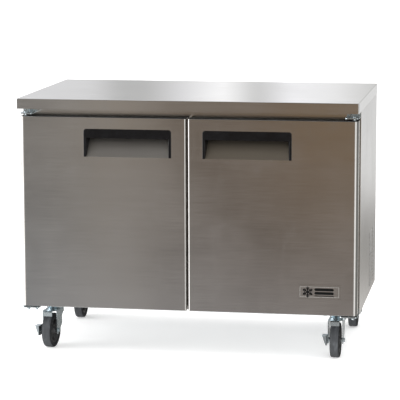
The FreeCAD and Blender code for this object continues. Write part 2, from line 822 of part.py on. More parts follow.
def make_thermostat_knob():
    """Ribbed dial with a pointer ridge, bored for the spindle."""
    front_y = thermostat_front - 16
    radius = 19.0
    knob = rod(radius, (thermostat_x, front_y, thermostat_z), Y_AXIS, 15.7)
    knob = knob.makeFillet(2, edges_within(knob, y=(front_y, front_y)))
    flutes = []
    for index in range(18):
        angle = math.radians(20 * index)
        x = thermostat_x + (radius + 0.4) * math.cos(angle)
        z = thermostat_z + (radius + 0.4) * math.sin(angle)
        flutes.append(rod(1.4, (x, front_y - 1, z), Y_AXIS, 12))
    ridge = box((thermostat_x - 1.5, thermostat_x + 1.5), (front_y - 2, front_y + 1),
                (thermostat_z, thermostat_z + 15))
    bore = rod(3.0 + running_gap, (thermostat_x, front_y + 3, thermostat_z), Y_AXIS, 20)
    return join([knob, ridge]).cut(flutes + [bore])


# ----------------------------------------------------------------------- doors
def rectangle_across(half, y, low, high):
    """Outline square to Y, centred on the handle."""
    left = handle_x - half
    right = handle_x + half
    corners = [point(left, y, low), point(right, y, low), point(right, y, high), point(left, y, high)]
    return Part.makePolygon(corners + corners[:1])


def pocket(offset):
    """The handle's tapered recess, grown outward by offset on every wall."""
    half = handle_half - handle_leg + offset
    top = handle_top - 6 + offset
    near = rectangle_across(half, door_face, handle_bottom + pocket_wall - offset, top)
    far = rectangle_across(half - pocket_draft, door_face + pocket_depth + offset,
                           pocket_back_floor - offset, top)
    return Part.makeLoft([near, far], True, True)


def scoop_zone():
    """Wedge-sided block that parts the metal scoop from the moulding's side walls."""
    near_half = handle_half - handle_leg
    reach = pocket_depth + 10
    far_half = near_half - pocket_draft * reach / pocket_depth
    outline = [(handle_x - near_half, door_face, 700), (handle_x + near_half, door_face, 700),
               (handle_x + far_half, door_face + reach, 700), (handle_x - far_half, door_face + reach, 700)]
    return prism(outline, point(0, 0, handle_top - 6 - 700))


def make_handle_scoop(side):
    """Sloping metal finger plate and the back of the recess."""
    return flipped(pocket(pocket_wall).cut(pocket(0)).common(scoop_zone()), side)


def make_handle_grip(side):
    """Moulded frame: two legs, a deep top bar and the recess's side and top walls."""
    left = handle_x - handle_half
    right = handle_x + handle_half
    crest = door_face - handle_proud
    flange = box((left, right), (crest, door_face), (handle_bottom, handle_top))
    corners = edges_within(flange, z=(handle_top, handle_top))
    flange = flange.makeFillet(handle_corner, [edge for edge in corners if edge.BoundBox.YLength > 1])
    rim = edges_within(flange, y=(crest, crest))
    flange = flange.makeFillet(2.2, [edge for edge in rim if edge.BoundBox.ZMax > handle_bottom + 1])
    window = box((left + handle_leg, right - handle_leg), (crest - 1, door_face + 1),
                 (handle_bottom - 1, grip_bottom))
    flange = flange.cut(window)
    inner_edges = []
    for x in (left + handle_leg, right - handle_leg):
        inner_edges += edges_within(flange, x=(x, x), y=(crest, crest), z=(handle_bottom, grip_bottom))
    flange = flange.makeFillet(2.0, inner_edges)
    bar = box((left + handle_leg, right - handle_leg), (door_face, door_face + grip_thickness),
              (grip_bottom, handle_top - 6))
    walls = pocket(pocket_wall).cut(pocket(0)).cut(scoop_zone())
    return flipped(join([flange, bar.common(pocket(0)), walls]), side)


def door_block(inset, y_ends):
    """The door's envelope, shrunk by inset on its four sides."""
    x_ends = (door_inner_edge + inset, door_outer_edge - inset)
    return box(x_ends, y_ends, (door_bottom + inset, door_top - inset))


def rounded_door_block(inset, y_ends):
    """The envelope with its front vertical edges rounded, softer on the outer side."""
    block = door_block(inset, y_ends)
    for x, bend in ((door_inner_edge, door_inner_bend), (door_outer_edge, door_outer_bend)):
        uprights = [edge for edge in edges_within(block, x=(x - 1, x + 1), y=(y_ends[0], y_ends[0]))
                    if edge.BoundBox.ZLength > 1]
        block = block.makeFillet(bend - inset, uprights)
    return block


def door_bush_places():
    """Lower end of each of a door's two hinge bushes."""
    return ((hinge_x, hinge_y, door_top - bush_length), (hinge_x, hinge_y, door_bottom))


def make_door_skin(side):
    """Folded outer pan with soft vertical edges and returns round the back."""
    outer = rounded_door_block(0, (door_face, door_back))
    rails = [edge for edge in edges_within(outer, y=(door_face, door_face)) if edge.BoundBox.XLength > 1]
    outer = outer.makeFillet(door_lip_bend, rails)
    hollow = rounded_door_block(door_skin, (door_face + door_skin, door_back - door_skin))
    mouth = door_block(door_return, (door_back - 2, door_back + 1))
    bushes = [rod(bush_radius, place, Z_AXIS, bush_length) for place in door_bush_places()]
    return flipped(outer.cut([hollow, mouth, pocket(pocket_wall)] + bushes), side)


def door_dish(inset, y_ends):
    """The raised panel on the back of a door, its rim chamfered."""
    dish = door_block(dish_inset + inset, y_ends)
    return dish.makeChamfer(4, edges_within(dish, y=(y_ends[1], y_ends[1])))


def make_door_foam(side):
    """Insulation that fills the door between skin and liner."""
    core = rounded_door_block(door_skin, (door_face + door_skin, door_back - door_skin))
    neck = door_block(door_return, (door_back - 2, door_back))
    dish = door_dish(liner_sheet, (door_back - 2, dish_back - liner_sheet))
    bushes = [rod(bush_radius, place, Z_AXIS, bush_length) for place in door_bush_places()]
    return flipped(join([core, neck, dish]).cut([pocket(pocket_wall)] + bushes), side)


def make_door_liner(side):
    """Inner door sheet with a shallow raised panel inside the gasket."""
    plate = door_block(liner_inset, (door_back, liner_back))
    dish = door_dish(0, (door_back, dish_back))
    hollow = door_dish(liner_sheet, (door_back - 1, dish_back - liner_sheet))
    return flipped(join([plate, dish]).cut(hollow), side)


def make_door_gasket(side):
    """Hollow magnetic seal running round the door."""
    left = door_inner_edge + gasket_inset
    right = door_outer_edge - gasket_inset
    low = door_bottom + gasket_inset
    high = door_top - gasket_inset
    ring = hollow_frame((left, right), (liner_back, gasket_tip), (low, high), gasket_width)
    chamber = hollow_frame((left + 3, right - 3), (liner_back + 2.5, gasket_tip - 2), (low + 3, high - 3),
                           gasket_width - 6)
    return flipped(ring.cut(chamber), side)


def make_hinge_bushes(side):
    """Bushes for the fixed pins at the top and bottom of a door."""
    bushes = [sleeve(bush_radius, hinge_pin + running_gap, place, Z_AXIS, bush_length)
              for place in door_bush_places()]
    return flipped(group(bushes), side)


badge_left = 397.0
badge_right = 552.0
badge_low = 228.0
badge_high = 282.0
badge_thickness = 1.6


def badge_block(inset, y_ends):
    return box((badge_left + inset, badge_right - inset), y_ends, (badge_low + inset, badge_high - inset))


def make_badge_plate():
    """Thin plate with a sunk line round its border and a slightly sunk field."""
    face = door_face - badge_thickness
    sunk = (face - 1, face + 0.5)
    plate = badge_block(0, (face, door_face))
    plate = plate.makeFillet(2, [edge for edge in plate.Edges if edge.BoundBox.YLength > 1])
    line = badge_block(3.0, sunk).cut(badge_block(5.0, sunk))
    return plate.cut([line, badge_block(7.0, sunk)])


# -------------------------------------------------------------------- hardware
bracket_outer = 610.0
upper_bracket_inner = 560.0
lower_bracket_inner = 546.0
bracket_sheet = 3.0
bracket_reach = 32.0
bracket_corner = 9.0
upper_leaf = 872.0
lower_leaf = 165.0
lower_leaf_sheet = 4.0
lower_flange_top = 186.0
upper_screws = (577.0, 602.0)
upper_screw_z = 885.0
lower_screws = (558.0, 599.0)
lower_screw_z = 180.0
cover_screw_x = 594.0
cover_screw_levels = (184.0, 290.0, 396.0)
stop_screw_x = 562.0
screw_head = 4.2
screw_shank = 2.0


def make_screw(place, axis):
    """Pan-head screw: domed head with a cross recess, and a short shank behind it."""
    profile = [(0, -7), (screw_shank, -7), (screw_shank, 0), (screw_head, 0), (screw_head, 1.0),
               (screw_head * 0.8, 1.9), (screw_head * 0.4, 2.3), (0, 2.4)]
    body = turned_profile(profile, (0, 0, 0), Z_AXIS)
    recess = [box((-2.2, 2.2), (-0.5, 0.5), (1.1, 3)), box((-0.5, 0.5), (-2.2, 2.2), (1.1, 3))]
    body = body.cut(recess)
    body.Placement = FreeCAD.Placement(point(*place), FreeCAD.Rotation(Z_AXIS, axis))
    return body


def make_pan_head_screws():
    """Hinge screws at the front and cover screws at the back."""
    forward = point(0, -1, 0)
    screws = []
    for side in (-1, 1):
        for x in upper_screws:
            screws.append(make_screw((side * x, frame_front - bracket_sheet, upper_screw_z), forward))
        for x in lower_screws:
            screws.append(make_screw((side * x, frame_front - bracket_sheet, lower_screw_z), forward))
        for z in cover_screw_levels:
            screws.append(make_screw((side * cover_screw_x, cabinet_rear, z), Y_AXIS))
    return screws


def bracket_angle(side, inner, flange_z, leaf_z):
    """Flange on the cabinet's front with a leaf that reaches forward under or over a door."""
    x_ends = (side * inner, side * bracket_outer)
    tip = hinge_y - bracket_reach
    flange = box(x_ends, (frame_front - bracket_sheet, frame_front), flange_z)
    leaf = box(x_ends, (tip, frame_front), leaf_z)
    corners = [edge for edge in edges_within(leaf, y=(tip, tip)) if edge.BoundBox.ZLength > 1]
    return join([flange, leaf.makeFillet(bracket_corner, corners)])


def domed_nut(x, y, z):
    """A cap nut hanging from the underside of a leaf."""
    dome = turned_profile([(0, -13), (3, -12.4), (5, -10.5), (5.8, -7), (0, -7)], (x, y, z), Z_AXIS)
    return join([hexagon(13, (x, y, z - 7), Z_AXIS, 7), dome])


def make_top_brackets(screws):
    """Angle brackets over the doors, each with a pin that hangs into its door."""
    brackets = []
    pin_tip = door_top - pin_depth
    for side in (-1, 1):
        angle = bracket_angle(side, upper_bracket_inner, (upper_leaf, apron_bottom),
                              (upper_leaf, upper_leaf + bracket_sheet))
        pin = rod(hinge_pin, (side * hinge_x, hinge_y, pin_tip), Z_AXIS, upper_leaf + 1 - pin_tip)
        rivet = rod(hinge_pin + 3, (side * hinge_x, hinge_y, upper_leaf + bracket_sheet), Z_AXIS, 2.5)
        brackets.append(join([angle, pin, rivet]).cut(screws))
    return group(brackets)


def make_bottom_brackets(screws):
    """Heavier brackets under the doors, each with a pin, a washer, a cap nut and a stop screw."""
    brackets = []
    leaf_top = lower_leaf + lower_leaf_sheet
    pin_tip = door_bottom + pin_depth
    for side in (-1, 1):
        axis_x = side * hinge_x
        angle = bracket_angle(side, lower_bracket_inner, (lower_leaf, lower_flange_top),
                              (lower_leaf, leaf_top))
        pin = rod(hinge_pin, (axis_x, hinge_y, lower_leaf), Z_AXIS, pin_tip - lower_leaf)
        washer = rod(bush_radius - 1.5, (axis_x, hinge_y, leaf_top), Z_AXIS, door_bottom - leaf_top - 0.5)
        nuts = [domed_nut(x, hinge_y, lower_leaf) for x in (axis_x, side * stop_screw_x)]
        brackets.append(join([angle, pin, washer] + nuts).cut(screws))
    return group(brackets)


# --------------------------------------------------------------------- casters
plate_half_x = 48.0
plate_half_y = 52.0
bolt_half_x = 38.0
bolt_half_y = 42.0
bolt_radius = 4.0
bolt_size = 13.0
caster_places = {"front_left": (-caster_front_x, caster_front_y, left_caster_turn),
                 "front_right": (caster_front_x, caster_front_y, 0.0),
                 "rear_left": (-caster_rear_x, caster_rear_y, 0.0),
                 "rear_right": (caster_rear_x, caster_rear_y, 0.0)}


def make_caster_bolts():
    """Hexagon bolts up through each top plate and rail, with nuts on the cabinet floor."""
    bolts = []
    head_height = 5.0
    nut_height = 6.5
    tip = floor_top + nut_height + 2
    for x, y, _ in caster_places.values():
        for bolt_x in (x - bolt_half_x, x + bolt_half_x):
            for bolt_y in (y - bolt_half_y, y + bolt_half_y):
                head = hexagon(bolt_size, (bolt_x, bolt_y, plate_bottom - head_height), Z_AXIS, head_height)
                nut = hexagon(bolt_size, (bolt_x, bolt_y, floor_top), Z_AXIS, nut_height)
                shank = rod(bolt_radius, (bolt_x, bolt_y, plate_bottom), Z_AXIS, tip - plate_bottom)
                bolts.append(join([head, shank, nut]))
    return bolts


def make_caster_rails(bolts):
    """Flat reinforcing rails under the cabinet, one each side, that the casters bolt to."""
    rails = []
    for side in (-1, 1):
        x_ends = [side * x for x in rail_ends]
        rails.append(box(x_ends, (frame_back + 4, rear_inside - 2), (rail_bottom, cabinet_bottom)))
    return group(rails).cut(bolts)


def make_caster_top_plates(bolts):
    """Pressed plates, each with a ball raceway cup and a kingpin hole."""
    plates = []
    for x, y, _ in caster_places.values():
        plate = box((x - plate_half_x, x + plate_half_x), (y - plate_half_y, y + plate_half_y),
                    (plate_bottom, rail_bottom))
        plate = plate.makeFillet(8, [edge for edge in plate.Edges if edge.BoundBox.ZLength > 1])
        profile = [(0, raceway_bottom), (25, raceway_bottom), (27, raceway_bottom + 6),
                   (31, raceway_bottom + 8), (34, plate_bottom), (0, plate_bottom)]
        cup = turned_profile(profile, (x, y, 0), Z_AXIS)
        hole = rod(kingpin_radius + running_gap, (x, y, raceway_bottom - 1), Z_AXIS, 20)
        plates.append(join([plate, cup]).cut(hole))
    return group(plates).cut(bolts)


def along_y(shape):
    """Edges of a block that run front to back."""
    return [edge for edge in shape.Edges if edge.BoundBox.YLength > 1 and edge.BoundBox.ZLength < 0.01
            and edge.BoundBox.XLength < 0.01]


def fork_sheet_metal(x, y):
    """Crown and two legs that sweep forward and taper to the axle."""
    axle_y = y + caster_trail
    tip = wheel_radius - 13.5
    slant_top = wheel_radius + 18.5
    shoulder = crown_top - 22
    leg_rear = y + fork_leg_rear
    back = y + fork_rear
    lining_top = crown_top - fork_sheet
    blank = box((x - fork_outside, x + fork_outside), (y + fork_front, back), (tip, crown_top))
    shoulders = [edge for edge in along_y(blank) if edge.BoundBox.ZMin > tip + 1]
    blank = blank.makeFillet(6, shoulders)
    hollow = box((x - fork_inside, x + fork_inside), (y + fork_front - 1, back + 1), (tip - 1, lining_top))
    shoulders = [edge for edge in along_y(hollow) if edge.BoundBox.ZMin > tip + 1]
    hollow = hollow.makeFillet(3, shoulders)
    across = point(80, 0, 0)
    heel = prism([(x - 40, axle_y - 1, tip - 1), (x - 40, axle_y + 4, tip + 3),
                  (x - 40, leg_rear, slant_top), (x - 40, leg_rear, shoulder - 8),
                  (x - 40, leg_rear + 8, shoulder), (x - 40, back + 1, shoulder + 6),
                  (x - 40, back + 1, tip - 1)], across)
    toe = prism([(x - 40, y + fork_front - 1, tip - 1), (x - 40, y + fork_front + 4, tip - 1),
                 (x - 40, y + fork_front - 1, tip + 4)], across)
    return blank.cut([hollow, heel, toe])


def fork_lip(x, y):
    """Tongue of the crown that reaches forward and turns down in front of the wheel."""
    root = y + fork_front + 1
    nose = y + fork_front - 25
    half = 16.0
    root_half = fork_inside + 1
    low = crown_top - 19
    under = crown_top - fork_sheet
    outline = [(root, crown_top), (nose + 4, crown_top), (nose + 1.2, crown_top - 1.2),
               (nose, crown_top - 4), (nose, low), (nose + fork_sheet, low),
               (nose + fork_sheet, under), (root, under)]
    tongue = prism([(x - root_half, across, level) for across, level in outline],
                   point(2 * root_half, 0, 0))
    slope = y + fork_front - 14
    waist = []
    for side in (-1, 1):
        near = x + side * half
        wide = x + side * root_half
        edge = wide + side
        waist.append(prism([(near, nose - 1, low - 1), (near, slope, low - 1),
                            (wide, y + fork_front, low - 1), (edge, y + fork_front, low - 1),
                            (edge, nose - 1, low - 1)], point(0, 0, crown_top - low + 2)))
    return tongue.cut(waist)


def make_caster_fork(x, y):
    """Folded fork with its kingpin, axle bolt, nuts and wheel spacers."""
    axle_y = y + caster_trail
    axle_z = wheel_radius
    kingpin = rod(kingpin_radius, (x, y, crown_top - 4), Z_AXIS, rail_bottom - crown_top + 3.5)
    kingpin_nut = hexagon(16, (x, y, crown_top - fork_sheet - 6), Z_AXIS, 6)
    bolt_start = x - fork_outside - pedal_room - 7
    bolt_end = x + fork_outside + 5
    bolt = rod(axle_radius, (bolt_start, axle_y, axle_z), X_AXIS, bolt_end - bolt_start)
    head = hexagon(bolt_size, (x + fork_outside, axle_y, axle_z), X_AXIS, 5)
    nut = hexagon(bolt_size, (bolt_start + 1, axle_y, axle_z), X_AXIS, 6)
    gap = fork_inside - hub_half - hub_clearance
    spacers = [sleeve(8, axle_radius, (start, axle_y, axle_z), X_AXIS, gap)
               for start in (x - fork_inside, x + fork_inside - gap)]
    return join([fork_sheet_metal(x, y), fork_lip(x, y), kingpin, kingpin_nut, bolt, head, nut] + spacers)


def make_caster_wheel(x, y):
    """Rubber tyre with a rounded tread on a plastic core, bored for the axle."""
    centre = (x, y + caster_trail, wheel_radius)
    left_face = (x - wheel_half, centre[1], centre[2])
    tyre = rod(wheel_radius, left_face, X_AXIS, 2 * wheel_half)
    tyre = tyre.makeFillet(tyre_round, [edge for edge in tyre.Edges if edge.BoundBox.XLength < 0.01])
    tyre = tyre.cut(rod(core_radius, left_face, X_AXIS, 2 * wheel_half))
    bore = axle_radius + running_gap
    rim = wheel_half - 2
    web = 6.0
    half_profile = [(bore, -hub_half), (12, -hub_half), (14, -web), (core_radius - 8, -web),
                    (core_radius - 5, -rim), (core_radius, -rim)]
    mirrored = [(radius, -level) for radius, level in reversed(half_profile)]
    core = turned_profile(half_profile + mirrored, centre, X_AXIS)
    return group([tyre, core])


def make_brake_pedal(x, y):
    """Side lever on the axle that reaches forward, with a tread and a curved web bent outward."""
    axle_y = y + caster_trail
    thickness = 2.5
    inner = x - fork_outside - 0.5
    outer = inner - thickness
    tip = x - 45.0
    toe = axle_y - 57
    tread_top = wheel_radius + 24.0
    tread_low = tread_top - thickness
    tread_rear = axle_y - 16
    web_low = wheel_radius - 10.0
    disc = rod(13, (outer, axle_y, wheel_radius), X_AXIS, thickness)
    arm = prism([(outer, axle_y + 6, wheel_radius + 11), (outer, tread_rear, tread_top),
                 (outer, toe, tread_top), (outer, toe, web_low), (outer, toe + 12, web_low - 3),
                 (outer, axle_y + 2, wheel_radius - 12.5)], point(thickness, 0, 0))
    tread = box((tip, inner), (toe, tread_rear), (tread_low, tread_top))
    corners = [edge for edge in edges_within(tread, x=(tip, tip)) if edge.BoundBox.ZLength > 1]
    tread = tread.makeFillet(4, corners)
    outer_end = point(tip + 3, toe + 4, tread_low)
    corner = point(outer, toe + 4, tread_low)
    lower_end = point(outer, toe + 4, web_low)
    sweep = Part.Arc(outer_end, point(outer - 7, toe + 4, wheel_radius + 7), lower_end).toShape()
    rest = Part.makePolygon([lower_end, corner, outer_end])
    web = Part.Face(Part.Wire([sweep] + rest.Edges)).extrude(point(0, 2, 0))
    bore = rod(axle_radius + running_gap, (outer - 1, axle_y, wheel_radius), X_AXIS, thickness + 2)
    return join([disc, arm, tread, web]).cut(bore)


# ------------------------------------------------------------------------ build
def build():
    os.makedirs("parts", exist_ok=True)
    lines = make_refrigerant_lines()
    line_holes = make_line_holes()
    gland_hole = make_gland_hole()
    screws = make_pan_head_screws()
    caster_bolts = make_caster_bolts()

    save("worktop", make_worktop())
    save("worktop_backer", make_worktop_backer())
    save("side_panel_left", make_side_panel(-1))
    save("side_panel_right", make_side_panel(1))
    save("rear_panel", make_rear_panel(line_holes))
    save("base_panel", make_base_panel().cut(caster_bolts))
    save("inner_liner", make_inner_liner(line_holes))
    save("cabinet_foam", make_cabinet_foam(lines).cut(screws + caster_bolts))
    save("front_frame", make_front_frame(screws))
    save("center_mullion", make_center_mullion())
    save("rear_grille", make_rear_grille(gland_hole).cut(screws))
    save("cord_gland", make_cord_gland())

    save("shelf_pilasters", make_shelf_pilasters())
    save("shelf_clips", make_shelf_clips())
    save("evaporator_cover", make_evaporator_cover())
    save("evaporator_coil", make_evaporator_coil())
    save("evaporator_fan", make_evaporator_fan())
    save("fan_motors", make_fan_motors())
    save("thermostat_box", make_thermostat_box())
    save("thermostat_knob", make_thermostat_knob())
    save("compressor", make_compressor())
    save("condenser_coil", make_condenser_coil())
    save("condenser_shroud", make_condenser_shroud())
    save("condenser_fan", make_condenser_fan())
    save("filter_drier", make_filter_drier())
    save("refrigerant_lines", group(lines))
    save("drain_pan", make_drain_pan())

    for name, side in (("left", -1), ("right", 1)):
        save("door_skin_" + name, make_door_skin(side))
        save("door_foam_" + name, make_door_foam(side))
        save("door_liner_" + name, make_door_liner(side))
        save("door_gasket_" + name, make_door_gasket(side))
        save("handle_grip_" + name, make_handle_grip(side))
        save("handle_scoop_" + name, make_handle_scoop(side))
        save("hinge_bushes_" + name, make_hinge_bushes(side))
        save("shelf_" + name, make_shelf(side))
    save("badge_plate", make_badge_plate())

    save("hinge_brackets_top", make_top_brackets(screws))
    save("hinge_brackets_bottom", make_bottom_brackets(screws))
    save("pan_head_screws", group(screws))
    save("caster_rails", make_caster_rails(caster_bolts))
    save("caster_top_plates", make_caster_top_plates(caster_bolts))
    save("caster_bolts", group(caster_bolts))
    for name, (x, y, turn) in caster_places.items():
        pieces = {"caster_fork_": make_caster_fork, "caster_wheel_": make_caster_wheel}
        if name.startswith("front"):
            pieces["brake_pedal_"] = make_brake_pedal
        for piece, make in pieces.items():
            save(piece + name, rotated(make(x, y), (x, y, 0), Z_AXIS, turn))


build()
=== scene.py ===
import json
import math
import bmesh
import bpy
from mathutils import Matrix, Vector


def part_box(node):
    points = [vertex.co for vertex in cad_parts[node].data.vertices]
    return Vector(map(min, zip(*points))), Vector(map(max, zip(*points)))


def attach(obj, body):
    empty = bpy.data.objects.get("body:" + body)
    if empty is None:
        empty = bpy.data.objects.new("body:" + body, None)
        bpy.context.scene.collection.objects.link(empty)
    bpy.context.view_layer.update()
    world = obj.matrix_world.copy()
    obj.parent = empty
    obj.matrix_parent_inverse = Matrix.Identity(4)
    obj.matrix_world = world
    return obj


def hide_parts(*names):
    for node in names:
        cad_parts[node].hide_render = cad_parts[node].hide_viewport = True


# Looks of a two-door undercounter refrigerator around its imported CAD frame.
# Metres. X to the right across the doors, Y to the back, Z up.

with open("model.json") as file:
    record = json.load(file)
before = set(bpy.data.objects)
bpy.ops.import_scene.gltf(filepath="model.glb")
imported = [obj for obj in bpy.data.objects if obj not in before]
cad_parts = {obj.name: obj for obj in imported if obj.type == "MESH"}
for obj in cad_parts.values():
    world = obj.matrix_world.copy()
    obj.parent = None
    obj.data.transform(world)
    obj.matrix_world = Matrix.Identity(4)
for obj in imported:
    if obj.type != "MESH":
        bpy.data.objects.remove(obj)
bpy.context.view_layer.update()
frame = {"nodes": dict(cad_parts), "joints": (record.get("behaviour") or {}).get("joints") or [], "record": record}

SIDES = ("left", "right")
CORNERS = ("front_left", "front_right", "rear_left", "rear_right")
MM = 0.001


# ---------------------------------------------------------------- shader tools
class Shader:
    """One material's or world's node tree, with short calls to add and join nodes."""

    def __init__(self, tree):
        self.tree = tree
        self.tree.nodes.clear()

    def node(self, kind, inputs=None, **settings):
        """A node; each input is a socket to link or a value to set, by name or place."""
        made = self.tree.nodes.new("ShaderNode" + kind)
        for key, value in settings.items():
            setattr(made, key, value)
        for key, value in (inputs or {}).items():
            self.feed(made.inputs[key], value)
        return made

    def feed(self, socket, value):
        if isinstance(value, bpy.types.NodeSocket):
            self.tree.links.new(value, socket)
        else:
            socket.default_value = value

    def math(self, operation, *values, clamp=False):
        inputs = dict(enumerate(values))
        return self.node("Math", inputs, operation=operation, use_clamp=clamp).outputs[0]

    def vector(self, operation, *values):
        made = self.node("VectorMath", dict(enumerate(values)), operation=operation)
        return made.outputs["Value" if operation in ("DOT_PRODUCT", "LENGTH") else "Vector"]

    def scaled(self, vector, factors):
        return self.vector("MULTIPLY", vector, factors)

    def place(self):
        """Position in the row's frame, which rides with the body."""
        return self.node("TexCoord").outputs["Object"]

    def split(self, vector):
        return self.node("SeparateXYZ", {0: vector}).outputs

    def noise(self, vector, scale, detail=3.0, distortion=0.0):
        inputs = {"Vector": vector, "Scale": scale, "Detail": detail, "Distortion": distortion}
        return self.node("TexNoise", inputs).outputs["Fac"]

    def cells(self, vector, scale, output="Distance"):
        return self.node("TexVoronoi", {"Vector": vector, "Scale": scale}).outputs[output]

    def remap(self, value, low, high, new_low, new_high):
        inputs = {"Value": value, "From Min": low, "From Max": high, "To Min": new_low, "To Max": new_high}
        return self.node("MapRange", inputs).outputs["Result"]

    def smooth(self, value, low, high):
        """0 below low, 1 above high, eased between."""
        inputs = {"Value": value, "From Min": low, "From Max": high}
        return self.node("MapRange", inputs, interpolation_type="SMOOTHSTEP").outputs["Result"]

    def ramp(self, value, stops):
        made = self.node("ValToRGB", {"Fac": value})
        elements = made.color_ramp.elements
        while len(elements) < len(stops):
            elements.new(0.5)
        for element, (position, colour) in zip(elements, stops):
            element.position = position
            element.color = (*colour, 1.0)
        return made.outputs["Color"]

    def curve(self, value, low, high, stops):
        """A colour that follows a value between low and high; stops are (value, colour)."""
        return self.ramp(self.remap(value, low, high, 0.0, 1.0),
                         [((place - low) / (high - low), colour) for place, colour in stops])

    def band(self, value, low, full_low, full_high, high):
        """1 between the two inner values, eased to 0 at the outer ones."""
        return self.math("MULTIPLY", self.smooth(value, low, full_low),
                         self.math("SUBTRACT", 1.0, self.smooth(value, full_high, high)))

    def mix(self, factor, first, second, blend="MIX"):
        made = self.node("Mix", data_type="RGBA", blend_type=blend)
        self.feed(made.inputs["Factor"], factor)
        for name, value in (("A", first), ("B", second)):
            socket = [item for item in made.inputs if item.name == name and item.type == "RGBA"][0]
            self.feed(socket, value if isinstance(value, bpy.types.NodeSocket) else (*value, 1.0))
        return [item for item in made.outputs if item.type == "RGBA"][0]

    def bump(self, height, strength, distance, under=None):
        inputs = {"Height": height, "Strength": strength, "Distance": distance}
        if under is not None:
            inputs["Normal"] = under
        return self.node("Bump", inputs).outputs["Normal"]

    def surface(self, **inputs):
        """The principled shader; underscores in the names stand for spaces."""
        sockets = {key.replace("_", " "): value for key, value in inputs.items()}
        shader = self.node("BsdfPrincipled", sockets)
        self.node("OutputMaterial", {"Surface": shader.outputs[0]})


def new_material(name):
    material = bpy.data.materials.new(name)
    material.use_nodes = True
    return material, Shader(material.node_tree)


# ------------------------------------------------------------------- materials
def brushed_steel(name, tint, roughness, wear=1.0, anisotropy=0.7, flat_face_shade=0.0, outer_face=None):
    """Stainless sheet with a fine horizontal grain, soft patches and faint smears.

    Faces that lie flat are darkened and roughened as painted shade; whatever is set in from outer_face, in X, is
    dark with painted shade.
    """
    material, s = new_material(name)
    place = s.place()
    normal = s.node("NewGeometry").outputs["Normal"]
    lying = s.math("POWER", s.split(normal)["Z"], 2.0)
    wall_grain = s.scaled(place, (9.0, 9.0, 820.0))
    flat_grain = s.scaled(place, (9.0, 820.0, 9.0))
    pick = s.node("Mix", data_type="VECTOR")
    s.feed(pick.inputs["Factor"], lying)
    vectors = [item for item in pick.inputs if item.type == "VECTOR" and item.name in "AB"]
    s.feed(vectors[0], wall_grain)
    s.feed(vectors[1], flat_grain)
    grain_place = [item for item in pick.outputs if item.type == "VECTOR"][0]
    grain = s.noise(grain_place, 1.0, detail=4.0)
    bands = s.noise(s.scaled(grain_place, (0.08, 0.02, 0.02)), 1.0, detail=2.0)
    patches = s.noise(place, 3.2, detail=3.0, distortion=0.6)
    smears = s.noise(s.scaled(place, (14.0, 14.0, 5.0)), 1.0, detail=5.0, distortion=1.4)
    smears = s.smooth(smears, 0.50, 0.80)
    specks = s.smooth(s.noise(place, 160.0, detail=2.0), 0.70, 0.78)
    shade = s.math("ADD", s.remap(patches, 0.25, 0.75, -0.05 * wear, 0.05 * wear),
                   s.remap(bands, 0.25, 0.75, 0.97, 1.03))
    shade = s.math("ADD", shade, s.remap(grain, 0.2, 0.8, -0.045, 0.045))
    shade = s.math("SUBTRACT", shade, s.math("MULTIPLY", specks, 0.04 * wear))
    # Painted shade: flat faces darker, and in a side panel everything set in from the outer face, such as the
    # slots' edges.
    painted_shade = s.math("MULTIPLY", lying, flat_face_shade)
    if outer_face is not None:
        inset = s.math("SUBTRACT", outer_face, s.math("ABSOLUTE", s.split(place)["X"]))
        painted_shade = s.math("MAXIMUM", painted_shade, s.math("MULTIPLY", s.smooth(inset, 0.2 * MM, 0.6 * MM), 0.85))
    shade = s.math("MULTIPLY", shade, s.math("SUBTRACT", 1.0, painted_shade))
    colour = s.node("VectorMath", {0: tint}, operation="SCALE")
    s.feed(colour.inputs["Scale"], shade)
    rough = s.math("ADD", s.remap(grain, 0.2, 0.8, roughness - 0.035, roughness + 0.035),
                   s.remap(patches, 0.25, 0.75, -0.03 * wear, 0.03 * wear))
    rough = s.math("ADD", rough, s.math("MULTIPLY", smears, 0.025 * wear))
    rough = s.math("ADD", rough, s.math("MULTIPLY", painted_shade, 0.4))
    across = s.vector("CROSS_PRODUCT", (0.0, 0.0, 1.0), normal)
    along = s.node("VectorMath", {0: (1.0, 0.0, 0.0)}, operation="SCALE")
    s.feed(along.inputs["Scale"], lying)
    tangent = s.vector("NORMALIZE", s.vector("ADD", across, along.outputs["Vector"]))
    relief = s.bump(grain, 0.12, 0.03 * MM)
    s.surface(Base_Color=colour.outputs["Vector"], Metallic=1.0, Roughness=rough, Anisotropic=anisotropy,
              Anisotropic_Rotation=0.25, Tangent=tangent, Normal=relief)
    return material


def plated_metal(name, tint, roughness):
    """Zinc plate: cloudy, with dull stains gathered in patches."""
    material, s = new_material(name)
    place = s.place()
    cloud = s.noise(place, 38.0, detail=5.0, distortion=0.8)
    fine = s.noise(place, 420.0, detail=3.0)
    stained = s.math("MULTIPLY", s.smooth(s.noise(place, 17.0, detail=4.0), 0.54, 0.72), 0.25)
    light = s.mix(s.remap(cloud, 0.3, 0.7, 0.0, 1.0), tuple(c * 0.94 for c in tint), tint)
    colour = s.mix(stained, light, (0.55, 0.52, 0.46))
    rough = s.math("ADD", s.remap(cloud, 0.3, 0.7, roughness - 0.04, roughness + 0.04),
                   s.math("MULTIPLY", stained, 0.5))
    s.surface(Base_Color=colour, Metallic=1.0, Roughness=rough, Normal=s.bump(fine, 0.02, 0.02 * MM))
    return material


def galvanised(name, tint):
    """Sheet with a crystalline spangle."""
    material, s = new_material(name)
    place = s.place()
    flake = s.cells(place, 75.0, output="Color")
    tone = s.split(flake)["X"]
    dust = s.noise(place, 6.0, detail=5.0)
    colour = s.mix(tone, tuple(c * 0.80 for c in tint), tuple(min(1.0, c * 1.12) for c in tint))
    colour = s.mix(s.smooth(dust, 0.5, 0.8), colour, (0.42, 0.41, 0.39))
    s.surface(Base_Color=colour, Metallic=0.9, Roughness=s.remap(tone, 0.0, 1.0, 0.38, 0.56),
              Normal=s.bump(s.noise(place, 210.0), 0.10, 0.08 * MM))
    return material


